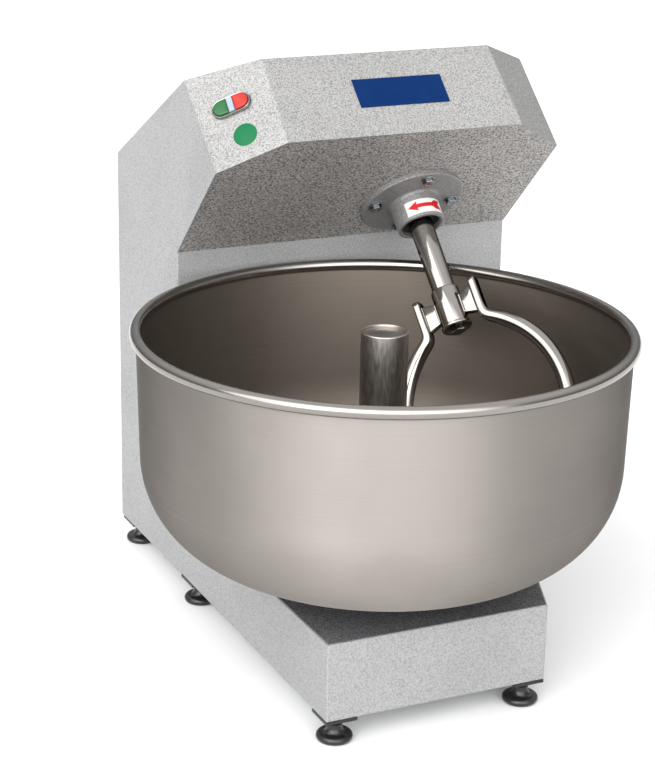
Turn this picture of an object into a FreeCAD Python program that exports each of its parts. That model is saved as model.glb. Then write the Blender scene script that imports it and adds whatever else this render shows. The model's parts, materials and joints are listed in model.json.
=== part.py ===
import FreeCAD, Part
import math
import os
from types import SimpleNamespace

import Sketcher
from FreeCAD import Placement, Rotation, Vector

# Fork kneader for bread dough: a sheet-metal base, column and overhanging head, a bowl that turns
# about a vertical axis, and a lyre fork that turns on a shaft tilted 45 degrees towards the bowl.
#
# Machine frame: +Z up, +Y to the rear, X = Y = 0 on the bowl's axis, Z = 0 on the floor.
# Fork frame: origin where the fork shaft's axis leaves the head's underside, +Z up the shaft into
# the head, +X to the machine's right, so that +Y points down and back.
# bowl_x and bowl_y put the row's origin at the bottom centre of the whole machine's box.

DIMENSIONS = {
    "bowl_x": -18.0, "bowl_y": -147.5,
    # sheet-metal casing
    "sheet": 3.0, "side_left": 172.0, "front_right": 172.0, "side_right": 395.0,
    "base_front": 195.0, "column_front": 366.0, "rear": 632.0, "base_low": 40.0, "base_high": 157.0,
    "nose_y": 162.0, "nose_z": 769.0, "brow_y": 271.0, "brow_z": 871.0, "roof_rear": 666.0,
    "bevel_nose": 92.0, "bevel_brow": 97.0, "bevel_side_y": 337.0, "bevel_side_z": 833.5,
    "return_width": 30.0, "cover_lap": 15.0, "cover_low": 142.0, "cover_high": 650.0,
    "cover_thick": 2.0, "tray_thick": 2.0,
    # chassis and feet
    "leg_width": 36.0, "leg_thick": 4.0, "leg_tall": 30.0, "post_side": 25.0, "deck_thick": 10.0,
    "deck_rear": 232.0, "foot_plate": 48.0, "foot_plate_thick": 5.0, "foot_radius": 26.0,
    "foot_edge": 12.0, "stud_radius": 6.0,
    # bowl and its turntable
    "bowl_radius": 350.0, "bowl_foot_radius": 342.0, "bowl_low": 199.0, "rim_z": 527.0,
    "rim_bead": 9.0, "bowl_sheet": 3.0, "bowl_corner": 150.0, "post_radius": 34.0, "post_top": 527.0,
    "hub_radius": 95.0, "hub_low": 189.0, "hub_stud": 5.0, "hub_nut": 6.0, "hub_nut_radius": 9.0,
    "spindle_radius": 25.0, "spindle_low": 70.0,
    "housing_radius": 95.0, "barrel_radius": 54.9, "barrel_low": 130.0, "neck_radius": 60.0,
    "neck_top": 184.0, "bearing_radius": 45.0, "bearing_width": 20.0, "housing_flange": 10.0,
    # bowl drive
    "ring_teeth": 120.0, "ring_module": 2.5, "ring_low": 104.0, "ring_width": 20.0,
    "pinion_teeth": 15.0, "jack_radius": 12.5, "jack_bearing": 26.0, "jack_bearing_width": 15.0,
    "jack_plate": 16.0, "jack_pulley": 104.0, "motor_pulley": 26.0, "belt_level": 83.0,
    "bowl_motor_x": -80.0, "bowl_motor_y": 500.0, "bowl_motor_radius": 64.0, "shelf_low": 160.0,
    "shelf_thick": 8.0, "bowl_motor_top": 385.0,
    # V-belts and their grooves
    "belt_top": 13.0, "belt_deep": 9.0, "belt_pitch": 18.0, "pulley_width": 38.0,
    # fork shaft and gearbox, in the fork frame
    "fork_x": 190.0, "fork_y": 297.0, "fork_tilt": 45.0, "flange_radius": 81.0, "flange_thick": 8.0,
    "boss_radius": 37.0, "boss_long": 43.0, "bolt_circle": 65.0, "spigot_radius": 44.9,
    "shaft_radius": 20.0, "shaft_mouth": 18.5, "shaft_end": 17.5, "box_low": 3.0, "box_wall": 10.0,
    "box_top": 92.0, "box_radius": 110.0, "box_small": 50.0, "box_skin": 8.0, "fork_teeth": 64.0,
    "fork_module": 3.0, "input_teeth": 16.0, "gear_low": 36.0, "gear_width": 28.0,
    "fork_bearing": 40.0, "fork_bearing_width": 18.0, "input_radius": 10.0, "input_bearing": 23.5,
    "input_bearing_width": 14.0, "input_pulley": 75.0, "fork_motor_pulley": 25.0,
    "fork_belt_level": 134.0, "fork_motor_x": -142.0, "fork_motor_y": 235.0,
    "fork_motor_radius": 56.0, "fork_motor_low": -60.0, "bracket_low": 105.0, "bracket_thick": 8.0,
    # fork
    "fork_turn": 45.0, "sleeve_radius": 21.5, "sleeve_top": -166.0, "sleeve_low": -226.0,
    "arm_radius": 11.5, "arm_arc": 161.8, "arm_centre_x": -34.0, "arm_centre_z": -370.0,
    "arm_start_z": -228.0, "arm_end_z": -468.0,
    # push buttons on the head's left bevel
    "pill_long": 60.0, "pill_wide": 30.0, "pill_x": 52.4, "pill_y": 93.8, "bezel_tall": 7.0,
    "bezel_wall": 2.6, "lens_wide": 9.0, "cap_tall": 9.5, "button_gap": 0.4, "button_stem": 4.0,
    # blank plate on the front face
    "plate_wide": 146.0, "plate_high": 50.0, "plate_x": 125.0, "plate_up": 75.0, "plate_thick": 1.5,
    # louvres in the rear cover
    "louvre_wide": 130.0, "louvre_high": 5.0, "louvre_step": 16.0, "louvre_low": 230.0,
    "louvre_left": -95.0, "louvre_right": 175.0, "louvre_rows": 11.0,
    # electrics inside the column, and the cable gland
    "box_x": 321.0, "box_y": 460.0, "box_z": 260.0, "box_wide": 70.0, "box_long": 140.0,
    "box_tall": 150.0, "box_sheet": 3.0, "contactor_wide": 45.0, "contactor_long": 70.0,
    "contactor_tall": 80.0, "gland_radius": 10.0, "gland_bore": 5.0, "gland_nut": 15.0,
    "gland_long": 34.0, "gland_inside": 12.0,
}

TINY = 0.05          # radial clearance of a running or hand-pushed fit
HEX = 6
MOTOR_BOLT_REACH = 10.0    # from a motor's wall out to its flange bolts
SCREW = {"head_radius": 5.0, "head_tall": 3.5, "shank_radius": 2.5}         # sheet-metal screws
SCREW_HOLE = 2.7
HOUSING_BOLT_HOLE = 6.3
FLANGE_BOLT_HOLE = 5.3
BOX_BOLT_HOLE = 3.3
MOTOR_BOLT_HOLE = 4.3
TRAY_SLOTS = 6             # air slots in the bottom tray
CHASSIS_GAP = 0.5          # between the casing's sheet and the chassis inside it


class Size(float):
    """A number that keeps the spreadsheet expression it was worked out from."""

    def __new__(cls, value, text):
        size = super().__new__(cls, value)
        size.text = text
        return size

    def __add__(self, other):
        return Size(float(self) + float(other), f"({self.text} + {expression(other)})")

    def __radd__(self, other):
        return Size(float(other) + float(self), f"({expression(other)} + {self.text})")

    def __sub__(self, other):
        return Size(float(self) - float(other), f"({self.text} - {expression(other)})")

    def __rsub__(self, other):
        return Size(float(other) - float(self), f"({expression(other)} - {self.text})")

    def __mul__(self, other):
        return Size(float(self) * float(other), f"({self.text} * {expression(other)})")

    def __rmul__(self, other):
        return Size(float(other) * float(self), f"({expression(other)} * {self.text})")

    def __truediv__(self, other):
        return Size(float(self) / float(other), f"({self.text} / {expression(other)})")

    def __neg__(self):
        return Size(-float(self), f"(-1 * {self.text})")


def expression(value):
    """The text that stands for a value in a spreadsheet expression."""
    return value.text if isinstance(value, Size) else f"{float(value):.6f}"


def square_root(size):
    return Size(math.sqrt(size), f"sqrt({expression(size)})")


doc = FreeCAD.newDocument("dough_mixer")
sheet = doc.addObject("Spreadsheet::Sheet", "Dims")
for row_number, (alias, number) in enumerate(DIMENSIONS.items(), start=1):
    sheet.set(f"A{row_number}", alias)
    sheet.set(f"B{row_number}", str(number))
    sheet.setAlias(f"B{row_number}", alias)
doc.recompute()
D = SimpleNamespace(**{alias: Size(number, f"Dims.{alias}") for alias, number in DIMENSIONS.items()})

UNDER_SUM = D.nose_y + D.nose_z                 # the head's underside is the plane y + z = UNDER_SUM
HEAD_LOW = UNDER_SUM - D.column_front
FORK_Z = UNDER_SUM - D.fork_y
JACK_Y = (D.ring_teeth + D.pinion_teeth) * D.ring_module / 2
INPUT_Y = (D.fork_teeth + D.input_teeth) * D.fork_module / 2
PARTS = []


# ---------------------------------------------------------------- document helpers

def bind(obj, prop, value):
    """Set a size and, where it comes from the sheet, tie it to its cells."""
    if isinstance(value, Size):
        obj.setExpression(prop, value.text)
    else:
        setattr(obj, prop, value)


def new_body(label):
    body = doc.addObject("PartDesign::Body", label)
    body.Label = label
    return body


def add_sketch(body, role, offset=0.0):
    """An empty sketch on one of the body's own origin planes, moved along the plane's normal."""
    planes = [item for item in body.Origin.OriginFeatures if item.Role == role]
    sketch = body.newObject("Sketcher::SketchObject", f"{body.Name}_sketch")
    sketch.AttachmentSupport = (planes[0], [""])
    sketch.MapMode = "FlatFace"
    sketch.AttachmentOffset = Placement(Vector(0, 0, float(offset)), Rotation())
    if isinstance(offset, Size):
        sketch.setExpression("AttachmentOffset.Base.z", offset.text)
    return sketch


def hold_point(sketch, geometry, corner, place):
    """Fix one sketch point at an X and a Y distance from the sketch's origin."""
    kinds = (("DistanceX", -2), ("DistanceY", -1))
    for (kind, axis), value in zip(kinds, place):
        if float(value) == 0.0:
            sketch.addConstraint(Sketcher.Constraint("PointOnObject", geometry, corner, axis))
            continue
        rule = Sketcher.Constraint(kind, -1, 1, geometry, corner, float(value))
        index = sketch.addConstraint(rule)
        if isinstance(value, Size):
            sketch.setExpression(f"Constraints[{index}]", value.text)


def add_outline(sketch, points):
    """A closed polygon through the points, each held by its own distances."""
    count = len(points)
    lines = []
    for index, start in enumerate(points):
        end = points[(index + 1) % count]
        segment = Part.LineSegment(Vector(*map(float, start), 0), Vector(*map(float, end), 0))
        lines.append(sketch.addGeometry(segment, False))
    for index in range(count):
        after = lines[(index + 1) % count]
        sketch.addConstraint(Sketcher.Constraint("Coincident", lines[index], 2, after, 1))
    for line, place in zip(lines, points):
        hold_point(sketch, line, 1, place)


def add_rectangle(sketch, low_x, low_y, high_x, high_y):
    add_outline(sketch, [(low_x, low_y), (high_x, low_y), (high_x, high_y), (low_x, high_y)])


def add_circle(sketch, centre, radius):
    circle = Part.Circle(Vector(*map(float, centre), 0), Vector(0, 0, 1), float(radius))
    index = sketch.addGeometry(circle, False)
    hold_point(sketch, index, 3, centre)
    rule = sketch.addConstraint(Sketcher.Constraint("Radius", index, float(radius)))
    if isinstance(radius, Size):
        sketch.setExpression(f"Constraints[{rule}]", radius.text)


def pad(body, sketch, length, midplane=False):
    feature = body.newObject("PartDesign::Pad", f"{body.Name}_pad")
    feature.Profile = sketch
    feature.Midplane = midplane
    bind(feature, "Length", length)
    return feature


def pocket(body, sketch, length, forward=True, midplane=False):
    """Cut along the sketch's normal (forward) or against it, and check that it removed metal."""
    doc.recompute()
    before = body.Shape.Volume
    feature = body.newObject("PartDesign::Pocket", f"{body.Name}_pocket")
    feature.Profile = sketch
    feature.Midplane = midplane
    feature.Reversed = forward and not midplane
    bind(feature, "Length", length)
    doc.recompute()
    if body.Shape.Volume >= before - 0.1:
        raise RuntimeError(f"{body.Label}: a pocket removed nothing")
    return feature


def turn(body, profile):
    """Revolve a closed profile of (radius, height) points about the body's Z axis."""
    sketch = add_sketch(body, "XZ_Plane")
    add_outline(sketch, profile)
    feature = body.newObject("PartDesign::Revolution", f"{body.Name}_turn")
    feature.Profile = sketch
    feature.ReferenceAxis = (sketch, ["V_Axis"])
    feature.Angle = 360
    return feature


def polar(body, features, count):
    doc.recompute()
    pattern = body.newObject("PartDesign::PolarPattern", f"{body.Name}_ring")
    pattern.Originals = features
    axis = [item for item in body.Origin.OriginFeatures if item.Role == "Z_Axis"][0]
    pattern.Axis = (axis, [""])
    pattern.Angle = 360
    pattern.Occurrences = count
    body.Tip = pattern
    doc.recompute()
    return pattern


def round_edges(body, radius, chosen):
    """Fillet the edges of the body's last solid that the test picks out."""
    doc.recompute()
    base = body.Tip
    names = [f"Edge{n}" for n, edge in enumerate(base.Shape.Edges, start=1) if chosen(edge)]
    fillet = body.newObject("PartDesign::Fillet", f"{body.Name}_fillet")
    fillet.Base = (base, names)
    bind(fillet, "Radius", radius)
    doc.recompute()
    return fillet


def circle_at(radius, height):
    """A test for the circular edge of about this radius at this height."""
    def test(edge):
        curve = edge.Curve
        is_circle = isinstance(curve, Part.Circle)
        return is_circle and abs(curve.Radius - radius) < 0.6 and abs(curve.Center.z - height) < 0.6
    return test


def primitive(kind, name, place=None, **sizes):
    """A Part workbench solid such as Part::Cylinder, its sizes tied to the sheet."""
    solid = doc.addObject(f"Part::{kind}", name)
    for prop, value in sizes.items():
        bind(solid, prop, value)
    if place is not None:
        solid.Placement = place
    return solid


def cylinder(name, radius, height, x=0.0, y=0.0, z=0.0, turn_to=Rotation()):
    place = Placement(Vector(float(x), float(y), float(z)), turn_to)
    return primitive("Cylinder", name, place, Radius=radius, Height=height)


def block(name, low, high):
    sizes = [h - l for l, h in zip(low, high)]
    place = Placement(Vector(*map(float, low)), Rotation())
    return primitive("Box", name, place, Length=sizes[0], Width=sizes[1], Height=sizes[2])


def boolean(kind, label, base, tools):
    """Part::Cut or Part::Fuse of one base with one tool or several."""
    if len(tools) > 1:
        joined = doc.addObject("Part::MultiFuse", f"{label}_tools")
        joined.Shapes = tools
        tools = [joined]
    result = doc.addObject(f"Part::{kind}", label)
    result.Label = label
    result.Base = base
    result.Tool = tools[0]
    return result


def compound(label, members):
    group = doc.addObject("Part::Compound", label)
    group.Label = label
    group.Links = members
    return group


def shaped(label, shape):
    """A Part::Feature for a form that no sketch feature or primitive makes."""
    feature = doc.addObject("Part::Feature", label)
    feature.Label = label
    feature.Shape = shape
    return feature


# ---------------------------------------------------------------- frames

def machine_frame():
    return Placement(Vector(float(D.bowl_x), float(D.bowl_y), 0), Rotation())


def fork_local(turn_angle=0.0):
    tilt = Rotation(Vector(1, 0, 0), -float(D.fork_tilt))
    spin = Rotation(Vector(0, 0, 1), turn_angle)
    return Placement(Vector(float(D.fork_x), float(D.fork_y), float(FORK_Z)), tilt * spin)


def bevel_corners(side=-1):
    """Brow, nose, upper side and lower side corners of one front bevel (side -1 left, +1 right)."""
    edge_x = -float(D.side_left) if side < 0 else float(D.side_right)
    brow = Vector(edge_x - side * D.bevel_brow, float(D.brow_y), float(D.brow_z))
    nose = Vector(edge_x - side * D.bevel_nose, float(D.nose_y), float(D.nose_z))
    upper = Vector(edge_x, float(D.bevel_side_y), float(D.bevel_side_z))
    normal = (brow - nose).cross(upper - nose)
    if normal.x * side < 0:
        normal = -normal
    normal.normalize()
    reach = normal.dot(nose) - normal.x * edge_x - normal.z * float(UNDER_SUM)
    low_y = reach / (normal.y - normal.z)
    return brow, nose, upper, Vector(edge_x, low_y, float(UNDER_SUM) - low_y), normal


def bevel_local():
    """Origin at the left bevel's lower rear corner, +X along its lower edge, +Z outwards."""
    nose, low_side, normal = bevel_corners()[1], bevel_corners()[3], bevel_corners()[4]
    along = nose - low_side
    along.normalize()
    return Placement(low_side, Rotation(along, normal.cross(along), normal, "ZXY"))


def front_local():
    """Origin on the nose edge at the bowl's axis, +X to the right, +Y up the front face."""
    rise = Vector(0, float(D.brow_y - D.nose_y), float(D.brow_z - D.nose_z))
    rise.normalize()
    right = Vector(1, 0, 0)
    place = Vector(0, float(D.nose_y), float(D.nose_z))
    return Placement(place, Rotation(right, rise, right.cross(rise), "ZXY"))


def add_part(obj, local=None):
    """Register a finished sub-part and give it its place in the row's frame."""
    obj.Placement = machine_frame() if local is None else machine_frame() * local
    if local is None:
        obj.setExpression("Placement.Base.x", D.bowl_x.text)
        obj.setExpression("Placement.Base.y", D.bowl_y.text)
    PARTS.append(obj)
    return obj


# ---------------------------------------------------------------- shared forms

def bolt(name, x, y, z, head_radius, head_tall, shank_radius, shank_long, down=True):
    """A hexagon bolt: its head stands on z, its shank runs down (or up when down is False)."""
    flip = Rotation() if down else Rotation(Vector(1, 0, 0), 180)
    spot = Placement(Vector(float(x), float(y), float(z)), flip)
    head = primitive("Prism", f"{name}_head", spot, Polygon=HEX, Circumradius=head_radius,
                     Height=head_tall)
    below = spot * Placement(Vector(0, 0, -float(shank_long)), Rotation())
    shank = primitive("Cylinder", f"{name}_shank", below, Radius=shank_radius, Height=shank_long)
    return boolean("Fuse", name, head, [shank])


def ring(name, inner, outer, width, x=0.0, y=0.0, z=0.0):
    """A rolling bearing or seal drawn as one ring."""
    body = cylinder(f"{name}_outer", outer, width, x, y, z)
    bore = cylinder(f"{name}_bore", inner, width + 2, x, y, float(z) - 1)
    return boolean("Cut", name, body, [bore])


def involute_gear(teeth, module, width, phase, backlash=0.35):
    """A spur gear blank with involute flanks; phase is the angle of one tooth's middle."""
    teeth = int(teeth)
    pitch = teeth * module / 2
    tip, root = pitch + module, pitch - 1.25 * module
    base = pitch * math.cos(math.radians(20))
    start = max(base, root)
    half = math.pi / (2 * teeth) - backlash / (2 * pitch)
    inv_pitch = math.tan(math.radians(20)) - math.radians(20)

    def flank_angle(radius):
        slope = math.acos(min(1.0, base / radius))
        return half + inv_pitch - (math.tan(slope) - slope)

    steps = 4
    radii = [start + (tip - start) * step / steps for step in range(steps + 1)]
    points = []
    for tooth in range(teeth):
        middle = phase + 2 * math.pi * tooth / teeth
        left = [(radius, middle - flank_angle(radius)) for radius in radii]
        right = [(radius, middle + flank_angle(radius)) for radius in reversed(radii)]
        foot = [(root, middle - flank_angle(start))], [(root, middle + flank_angle(start))]
        points += (foot[0] + left + right + foot[1]) if root < start else (left + right)
    corners = [Vector(radius * math.cos(angle), radius * math.sin(angle), 0) for radius, angle in points]
    wire = Part.makePolygon(corners + corners[:1])
    return Part.Face(wire).extrude(Vector(0, 0, float(width)))


def tangent_loop(centre_a, radius_a, centre_b, radius_b, z=0.0):
    """A closed wire round two circles: two outside tangents and two arcs."""
    ax, ay = centre_a
    bx, by = centre_b
    gap = math.hypot(bx - ax, by - ay)
    heading = math.atan2(by - ay, bx - ax)
    lean = math.acos((radius_a - radius_b) / gap)

    def rim(centre, radius, angle):
        return Vector(centre[0] + radius * math.cos(angle), centre[1] + radius * math.sin(angle), z)

    left, right = heading + lean, heading - lean
    edges = [
        Part.LineSegment(rim(centre_a, radius_a, right), rim(centre_b, radius_b, right)).toShape(),
        Part.Arc(rim(centre_b, radius_b, right), rim(centre_b, radius_b, heading),
                 rim(centre_b, radius_b, left)).toShape(),
        Part.LineSegment(rim(centre_b, radius_b, left), rim(centre_a, radius_a, left)).toShape(),
        Part.Arc(rim(centre_a, radius_a, left), rim(centre_a, radius_a, heading + math.pi),
                 rim(centre_a, radius_a, right)).toShape(),
    ]
    return Part.Wire(edges)


def loop_solid(centre_a, radius_a, centre_b, radius_b, low, high):
    wire = tangent_loop(centre_a, radius_a, centre_b, radius_b, low)
    return Part.Face(wire).extrude(Vector(0, 0, high - low))


def belt_solid(centre_a, pitch_a, centre_b, pitch_b, level):
    """One V-belt: a trapezoid, wide side out, swept round two pulleys."""
    path = tangent_loop(centre_a, float(pitch_a), centre_b, float(pitch_b), level)
    start = path.Edges[0].valueAt(path.Edges[0].FirstParameter)
    ahead = path.Edges[0].tangentAt(path.Edges[0].FirstParameter)
    outward = ahead.cross(Vector(0, 0, 1))
    top, deep = float(D.belt_top), float(D.belt_deep)
    slope = deep * math.tan(math.radians(18))
    shape = ((deep / 2, top / 2), (deep / 2, -top / 2),
             (-deep / 2, -top / 2 + slope), (-deep / 2, top / 2 - slope))
    corners = [start + outward * across + Vector(0, 0, up) for across, up in shape]
    profile = Part.makePolygon(corners + corners[:1])
    return path.makePipeShell([profile], True, False)


def groove_profile(pitch, bore, level):
    """Half section of a two-groove V-belt pulley: (radius, height) points about its level."""
    clear = 0.4
    top = D.belt_top / 2 + clear
    rise = D.belt_deep / 2
    slope = math.tan(math.radians(18))
    rim = pitch + rise - 0.5
    floor = pitch - rise - 1.5
    deep = (float(rim) - float(floor)) * slope
    half = D.pulley_width / 2
    points = [(bore, level - half), (rim, level - half)]
    for middle in (level - D.belt_pitch / 2, level + D.belt_pitch / 2):
        points += [(rim, middle - top), (floor, middle - top + deep),
                   (floor, middle + top - deep), (rim, middle + top)]
    return points + [(rim, level + half), (bore, level + half)]


def pulley(label, pitch, bore, level, x, y, web_holes=0):
    body = new_body(label)
    turn(body, groove_profile(pitch, bore + TINY, level))
    if web_holes:
        sketch = add_sketch(body, "XY_Plane", level - D.pulley_width / 2)
        radius = (float(pitch) - float(bore)) * 0.24
        reach = (float(pitch) + float(bore)) / 2
        for index in range(web_holes):
            angle = 2 * math.pi * index / web_holes
            add_circle(sketch, (reach * math.cos(angle), reach * math.sin(angle)), radius)
        pocket(body, sketch, D.pulley_width)
    return body, Placement(Vector(float(x), float(y), 0), Rotation())


def stadium(long, wide, low, high, centre_x=0.0, centre_y=0.0):
    """A pill-shaped block, its long side along X."""
    reach = (long - wide) / 2
    return loop_solid((centre_x - reach, centre_y), wide / 2, (centre_x + reach, centre_y),
                      wide / 2 - 1e-4, low, high)


def base_outline(inset, rear_y=None):
    """Plan of the base, drawn in by inset: a flush left side and a right side that flares out."""
    run = D.column_front + D.base_front
    spread = D.side_right - D.front_right
    slant = square_root(run * run + spread * spread)
    shift = inset * slant / run
    front = -(D.base_front - inset)
    left = -(D.side_left - inset)
    right = D.side_right - inset
    front_corner = D.front_right - shift + spread * inset / run
    corner_y = (right - D.front_right + shift) * run / spread - D.base_front
    rear = D.rear - inset if rear_y is None else rear_y
    return [(left, front), (front_corner, front), (right, corner_y), (right, rear), (left, rear)]


def flare_x(inset, at_y):
    """X of the flared right side, drawn in by inset, at one Y."""
    run = D.column_front + D.base_front
    spread = D.side_right - D.front_right
    slant = square_root(run * run + spread * spread)
    return D.front_right - inset * slant / run + (at_y + D.base_front) * spread / run


# ---------------------------------------------------------------- casing

def build_base():
    body = new_body("base_casing")
    sketch = add_sketch(body, "XY_Plane", D.base_low)
    add_outline(sketch, base_outline(0.0))
    add_outline(sketch, base_outline(D.sheet))
    pad(body, sketch, D.base_high - D.base_low)
    hole = add_sketch(body, "XZ_Plane", -D.rear - 1)
    add_circle(hole, GLAND_SPOT, D.gland_radius + 0.1)
    pocket(body, hole, 6.0)
    add_part(body)

    plate = new_body("base_top_plate")
    sketch = add_sketch(plate, "XY_Plane", D.base_high - D.sheet)
    add_outline(sketch, base_outline(D.sheet, D.column_front + D.sheet))
    add_circle(sketch, (0, 0), D.barrel_radius + 0.6)
    for x, y in HOUSING_BOLTS:
        add_circle(sketch, (x, y), HOUSING_BOLT_HOLE)
    pad(plate, sketch, D.sheet)
    add_part(plate)

    tray = new_body("bottom_tray")
    sketch = add_sketch(tray, "XY_Plane", D.base_low)
    add_outline(sketch, base_outline(D.sheet + 0.3))
    for x, y in FEET:
        add_circle(sketch, (x, y), D.stud_radius + 0.5)
    for x, y in TRAY_SCREWS:
        add_circle(sketch, (x, y), SCREW_HOLE)
    for row in range(TRAY_SLOTS):
        slot_y = (row - TRAY_SLOTS / 2 + 0.5) * 24.0
        add_rectangle(sketch, -60, slot_y - 4, 60, slot_y + 4)
    pad(tray, sketch, D.tray_thick)
    add_part(tray)
    screws = [bolt(f"tray_screw_{n}", x, y, D.base_low, shank_long=5.5, down=False, **SCREW)
              for n, (x, y) in enumerate(TRAY_SCREWS)]
    add_part(compound("bottom_tray_screws", screws))


def build_column():
    left, right = -D.side_left, D.side_right
    front, rear = D.column_front, D.rear
    skin, lip = D.sheet, D.return_width
    body = new_body("column_casing")
    sketch = add_sketch(body, "XY_Plane", D.base_high)
    add_outline(sketch, [
        (left, front), (right, front), (right, rear), (right - lip, rear), (right - lip, rear - skin),
        (right - skin, rear - skin), (right - skin, front + skin), (left + skin, front + skin),
        (left + skin, rear - skin), (left + lip, rear - skin), (left + lip, rear), (left, rear)])
    pad(body, sketch, HEAD_LOW - D.base_high)
    holes = add_sketch(body, "XZ_Plane", -D.rear - 1)
    for x, z in COVER_SCREWS:
        if z < HEAD_LOW:
            add_circle(holes, (x, z), SCREW_HOLE)
    pocket(body, holes, 6.0)
    add_part(body)


def head_planes():
    """Each flat side of the head as a point on it and its outward normal."""
    left, right = bevel_corners(-1), bevel_corners(1)
    brow = Vector(0, float(D.brow_y), float(D.brow_z))
    nose = Vector(0, float(D.nose_y), float(D.nose_z))
    roof = Vector(0, float(D.rear), float(D.roof_rear)) - brow
    face = brow - nose
    return {
        "roof": (brow, Vector(0, -roof.z, roof.y).normalize()),
        "front": (nose, Vector(0, -face.z, face.y).normalize()),
        "under": (nose, Vector(0, -1, -1).normalize()),
        "left": (Vector(-float(D.side_left), 0, 0), Vector(-1, 0, 0)),
        "right": (Vector(float(D.side_right), 0, 0), Vector(1, 0, 0)),
        "left_bevel": (left[1], left[4]),
        "right_bevel": (right[1], right[4]),
        "rear": (Vector(0, float(D.rear), 0), Vector(0, 1, 0)),
        "low": (Vector(0, 0, float(HEAD_LOW)), Vector(0, 0, -1)),
    }


def head_block(insets):
    """The head's convex block with each named side moved inwards (or outwards if negative)."""
    reach = 2000.0
    solid = Part.makeBox(reach, reach, reach, Vector(-reach / 2, -reach / 2, 0))
    for name, (point, normal) in head_planes().items():
        start = point - normal * insets.get(name, 0.0)
        slab = Part.makeBox(2 * reach, 2 * reach, 2 * reach, Vector(-reach, -reach, 0))
        slab.Placement = Placement(start, Rotation(Vector(0, 0, 1), normal))
        solid = solid.cut(slab)
    return solid


def build_head():
    skin = float(D.sheet)
    walls = ["roof", "front", "left", "right", "left_bevel", "right_bevel", "rear"]
    hollow = head_block({**{name: skin for name in walls}, "under": skin, "low": -1.0})
    inside_walls = head_block({name: skin for name in walls if name != "rear"})
    above_panel = head_block({"under": skin, "low": -5.0, "rear": -5.0})
    panel = inside_walls.cut(above_panel)
    casing = head_block({}).cut(hollow).cut(panel)
    lip, lap = float(D.return_width), float(D.cover_lap)
    low_x, high_x = -float(D.side_left) + lip, float(D.side_right) - lip
    window = Part.makeBox(high_x - low_x, 20, float(D.cover_high) - lap - float(HEAD_LOW) + 1,
                          Vector(low_x, float(D.rear) - 10, float(HEAD_LOW) - 1))
    casing = casing.cut(window)
    for x, z in COVER_SCREWS:
        if z > HEAD_LOW:
            start = Vector(x, float(D.rear) - 10, z)
            casing = casing.cut(Part.makeCylinder(SCREW_HOLE, 20, start, Vector(0, 1, 0)))
    slot = stadium(float(D.pill_long) - 14, float(D.pill_wide) - 12, -10, 10,
                   float(D.pill_x), float(D.pill_y))
    slot.Placement = bevel_local()
    add_part(shaped("head_casing", casing.cut(slot)))

    fork = fork_local()
    cutters = [Part.makeCylinder(float(D.spigot_radius) + 0.2, 20, Vector(0, 0, -10))]
    for x, y in FLANGE_BOLTS:
        cutters.append(Part.makeCylinder(FLANGE_BOLT_HOLE, 20, Vector(x, y, -10)))
    for cutter in cutters:
        cutter.Placement = fork
        panel = panel.cut(cutter)
    add_part(shaped("head_underside_panel", panel))


def build_rear_cover():
    lip = D.return_width - D.cover_lap
    body = new_body("rear_cover")
    sketch = add_sketch(body, "XZ_Plane", -D.rear - D.cover_thick)
    add_rectangle(sketch, -D.side_left + lip, D.cover_low, D.side_right - lip, D.cover_high)
    for x, z in COVER_SCREWS:
        add_circle(sketch, (x, z), SCREW_HOLE)
    for column in (D.louvre_left, D.louvre_right):
        for row in range(int(D.louvre_rows)):
            low = D.louvre_low + D.louvre_step * row
            add_rectangle(sketch, column, low, column + D.louvre_wide, low + D.louvre_high)
    pad(body, sketch, D.cover_thick)
    add_part(body)
    tilt = Rotation(Vector(1, 0, 0), -90)
    screws = []
    for n, (x, z) in enumerate(COVER_SCREWS):
        screw = bolt(f"cover_screw_{n}", 0, 0, 0, shank_long=7.0, **SCREW)
        screw.Placement = Placement(Vector(x, float(D.rear + D.cover_thick), z), tilt)
        screws.append(screw)
    add_part(compound("rear_cover_screws", screws))


# ---------------------------------------------------------------- chassis and feet

def build_chassis():
    low = D.base_low + D.tray_thick
    deck_low = D.base_high - D.sheet - D.deck_thick
    body = new_body("chassis_frame")
    sketch = add_sketch(body, "XY_Plane", low)
    add_outline(sketch, base_outline(D.sheet + CHASSIS_GAP))
    add_outline(sketch, base_outline(D.sheet + D.leg_width))
    for x, y in FEET:
        add_circle(sketch, (x, y), D.stud_radius + 0.5)
    for x, y in TRAY_SCREWS:
        add_circle(sketch, (x, y), SCREW_HOLE)
    pad(body, sketch, D.leg_thick)
    sketch = add_sketch(body, "XY_Plane", low + D.leg_thick)
    add_outline(sketch, base_outline(D.sheet + CHASSIS_GAP))
    add_outline(sketch, base_outline(D.sheet + CHASSIS_GAP + D.leg_thick))
    pad(body, sketch, D.leg_tall - D.leg_thick)
    sketch = add_sketch(body, "XY_Plane", low + D.leg_thick)
    inset = D.sheet + CHASSIS_GAP + D.leg_thick
    left = 1 - D.side_left + inset
    front_y, rear_y = 40 - D.base_front, D.deck_rear - D.post_side - 1
    front_x = flare_x(inset + 1, front_y) - D.post_side
    rear_x = flare_x(inset + 1, rear_y) - D.post_side
    for x, y in ((left, front_y), (front_x, front_y), (left, rear_y), (rear_x, rear_y)):
        add_rectangle(sketch, x, y, x + D.post_side, y + D.post_side)
    pad(body, sketch, deck_low - low - D.leg_thick)
    sketch = add_sketch(body, "XY_Plane", deck_low)
    corners = base_outline(inset)
    add_outline(sketch, [corners[0], corners[1], (flare_x(inset, D.deck_rear), D.deck_rear),
                         (corners[0][0], D.deck_rear)])
    add_circle(sketch, (0, 0), D.barrel_radius + 0.6)
    for x, y in HOUSING_BOLTS:
        add_circle(sketch, (x, y), HOUSING_BOLT_HOLE)
    pad(body, sketch, D.deck_thick)
    add_part(body)


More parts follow.
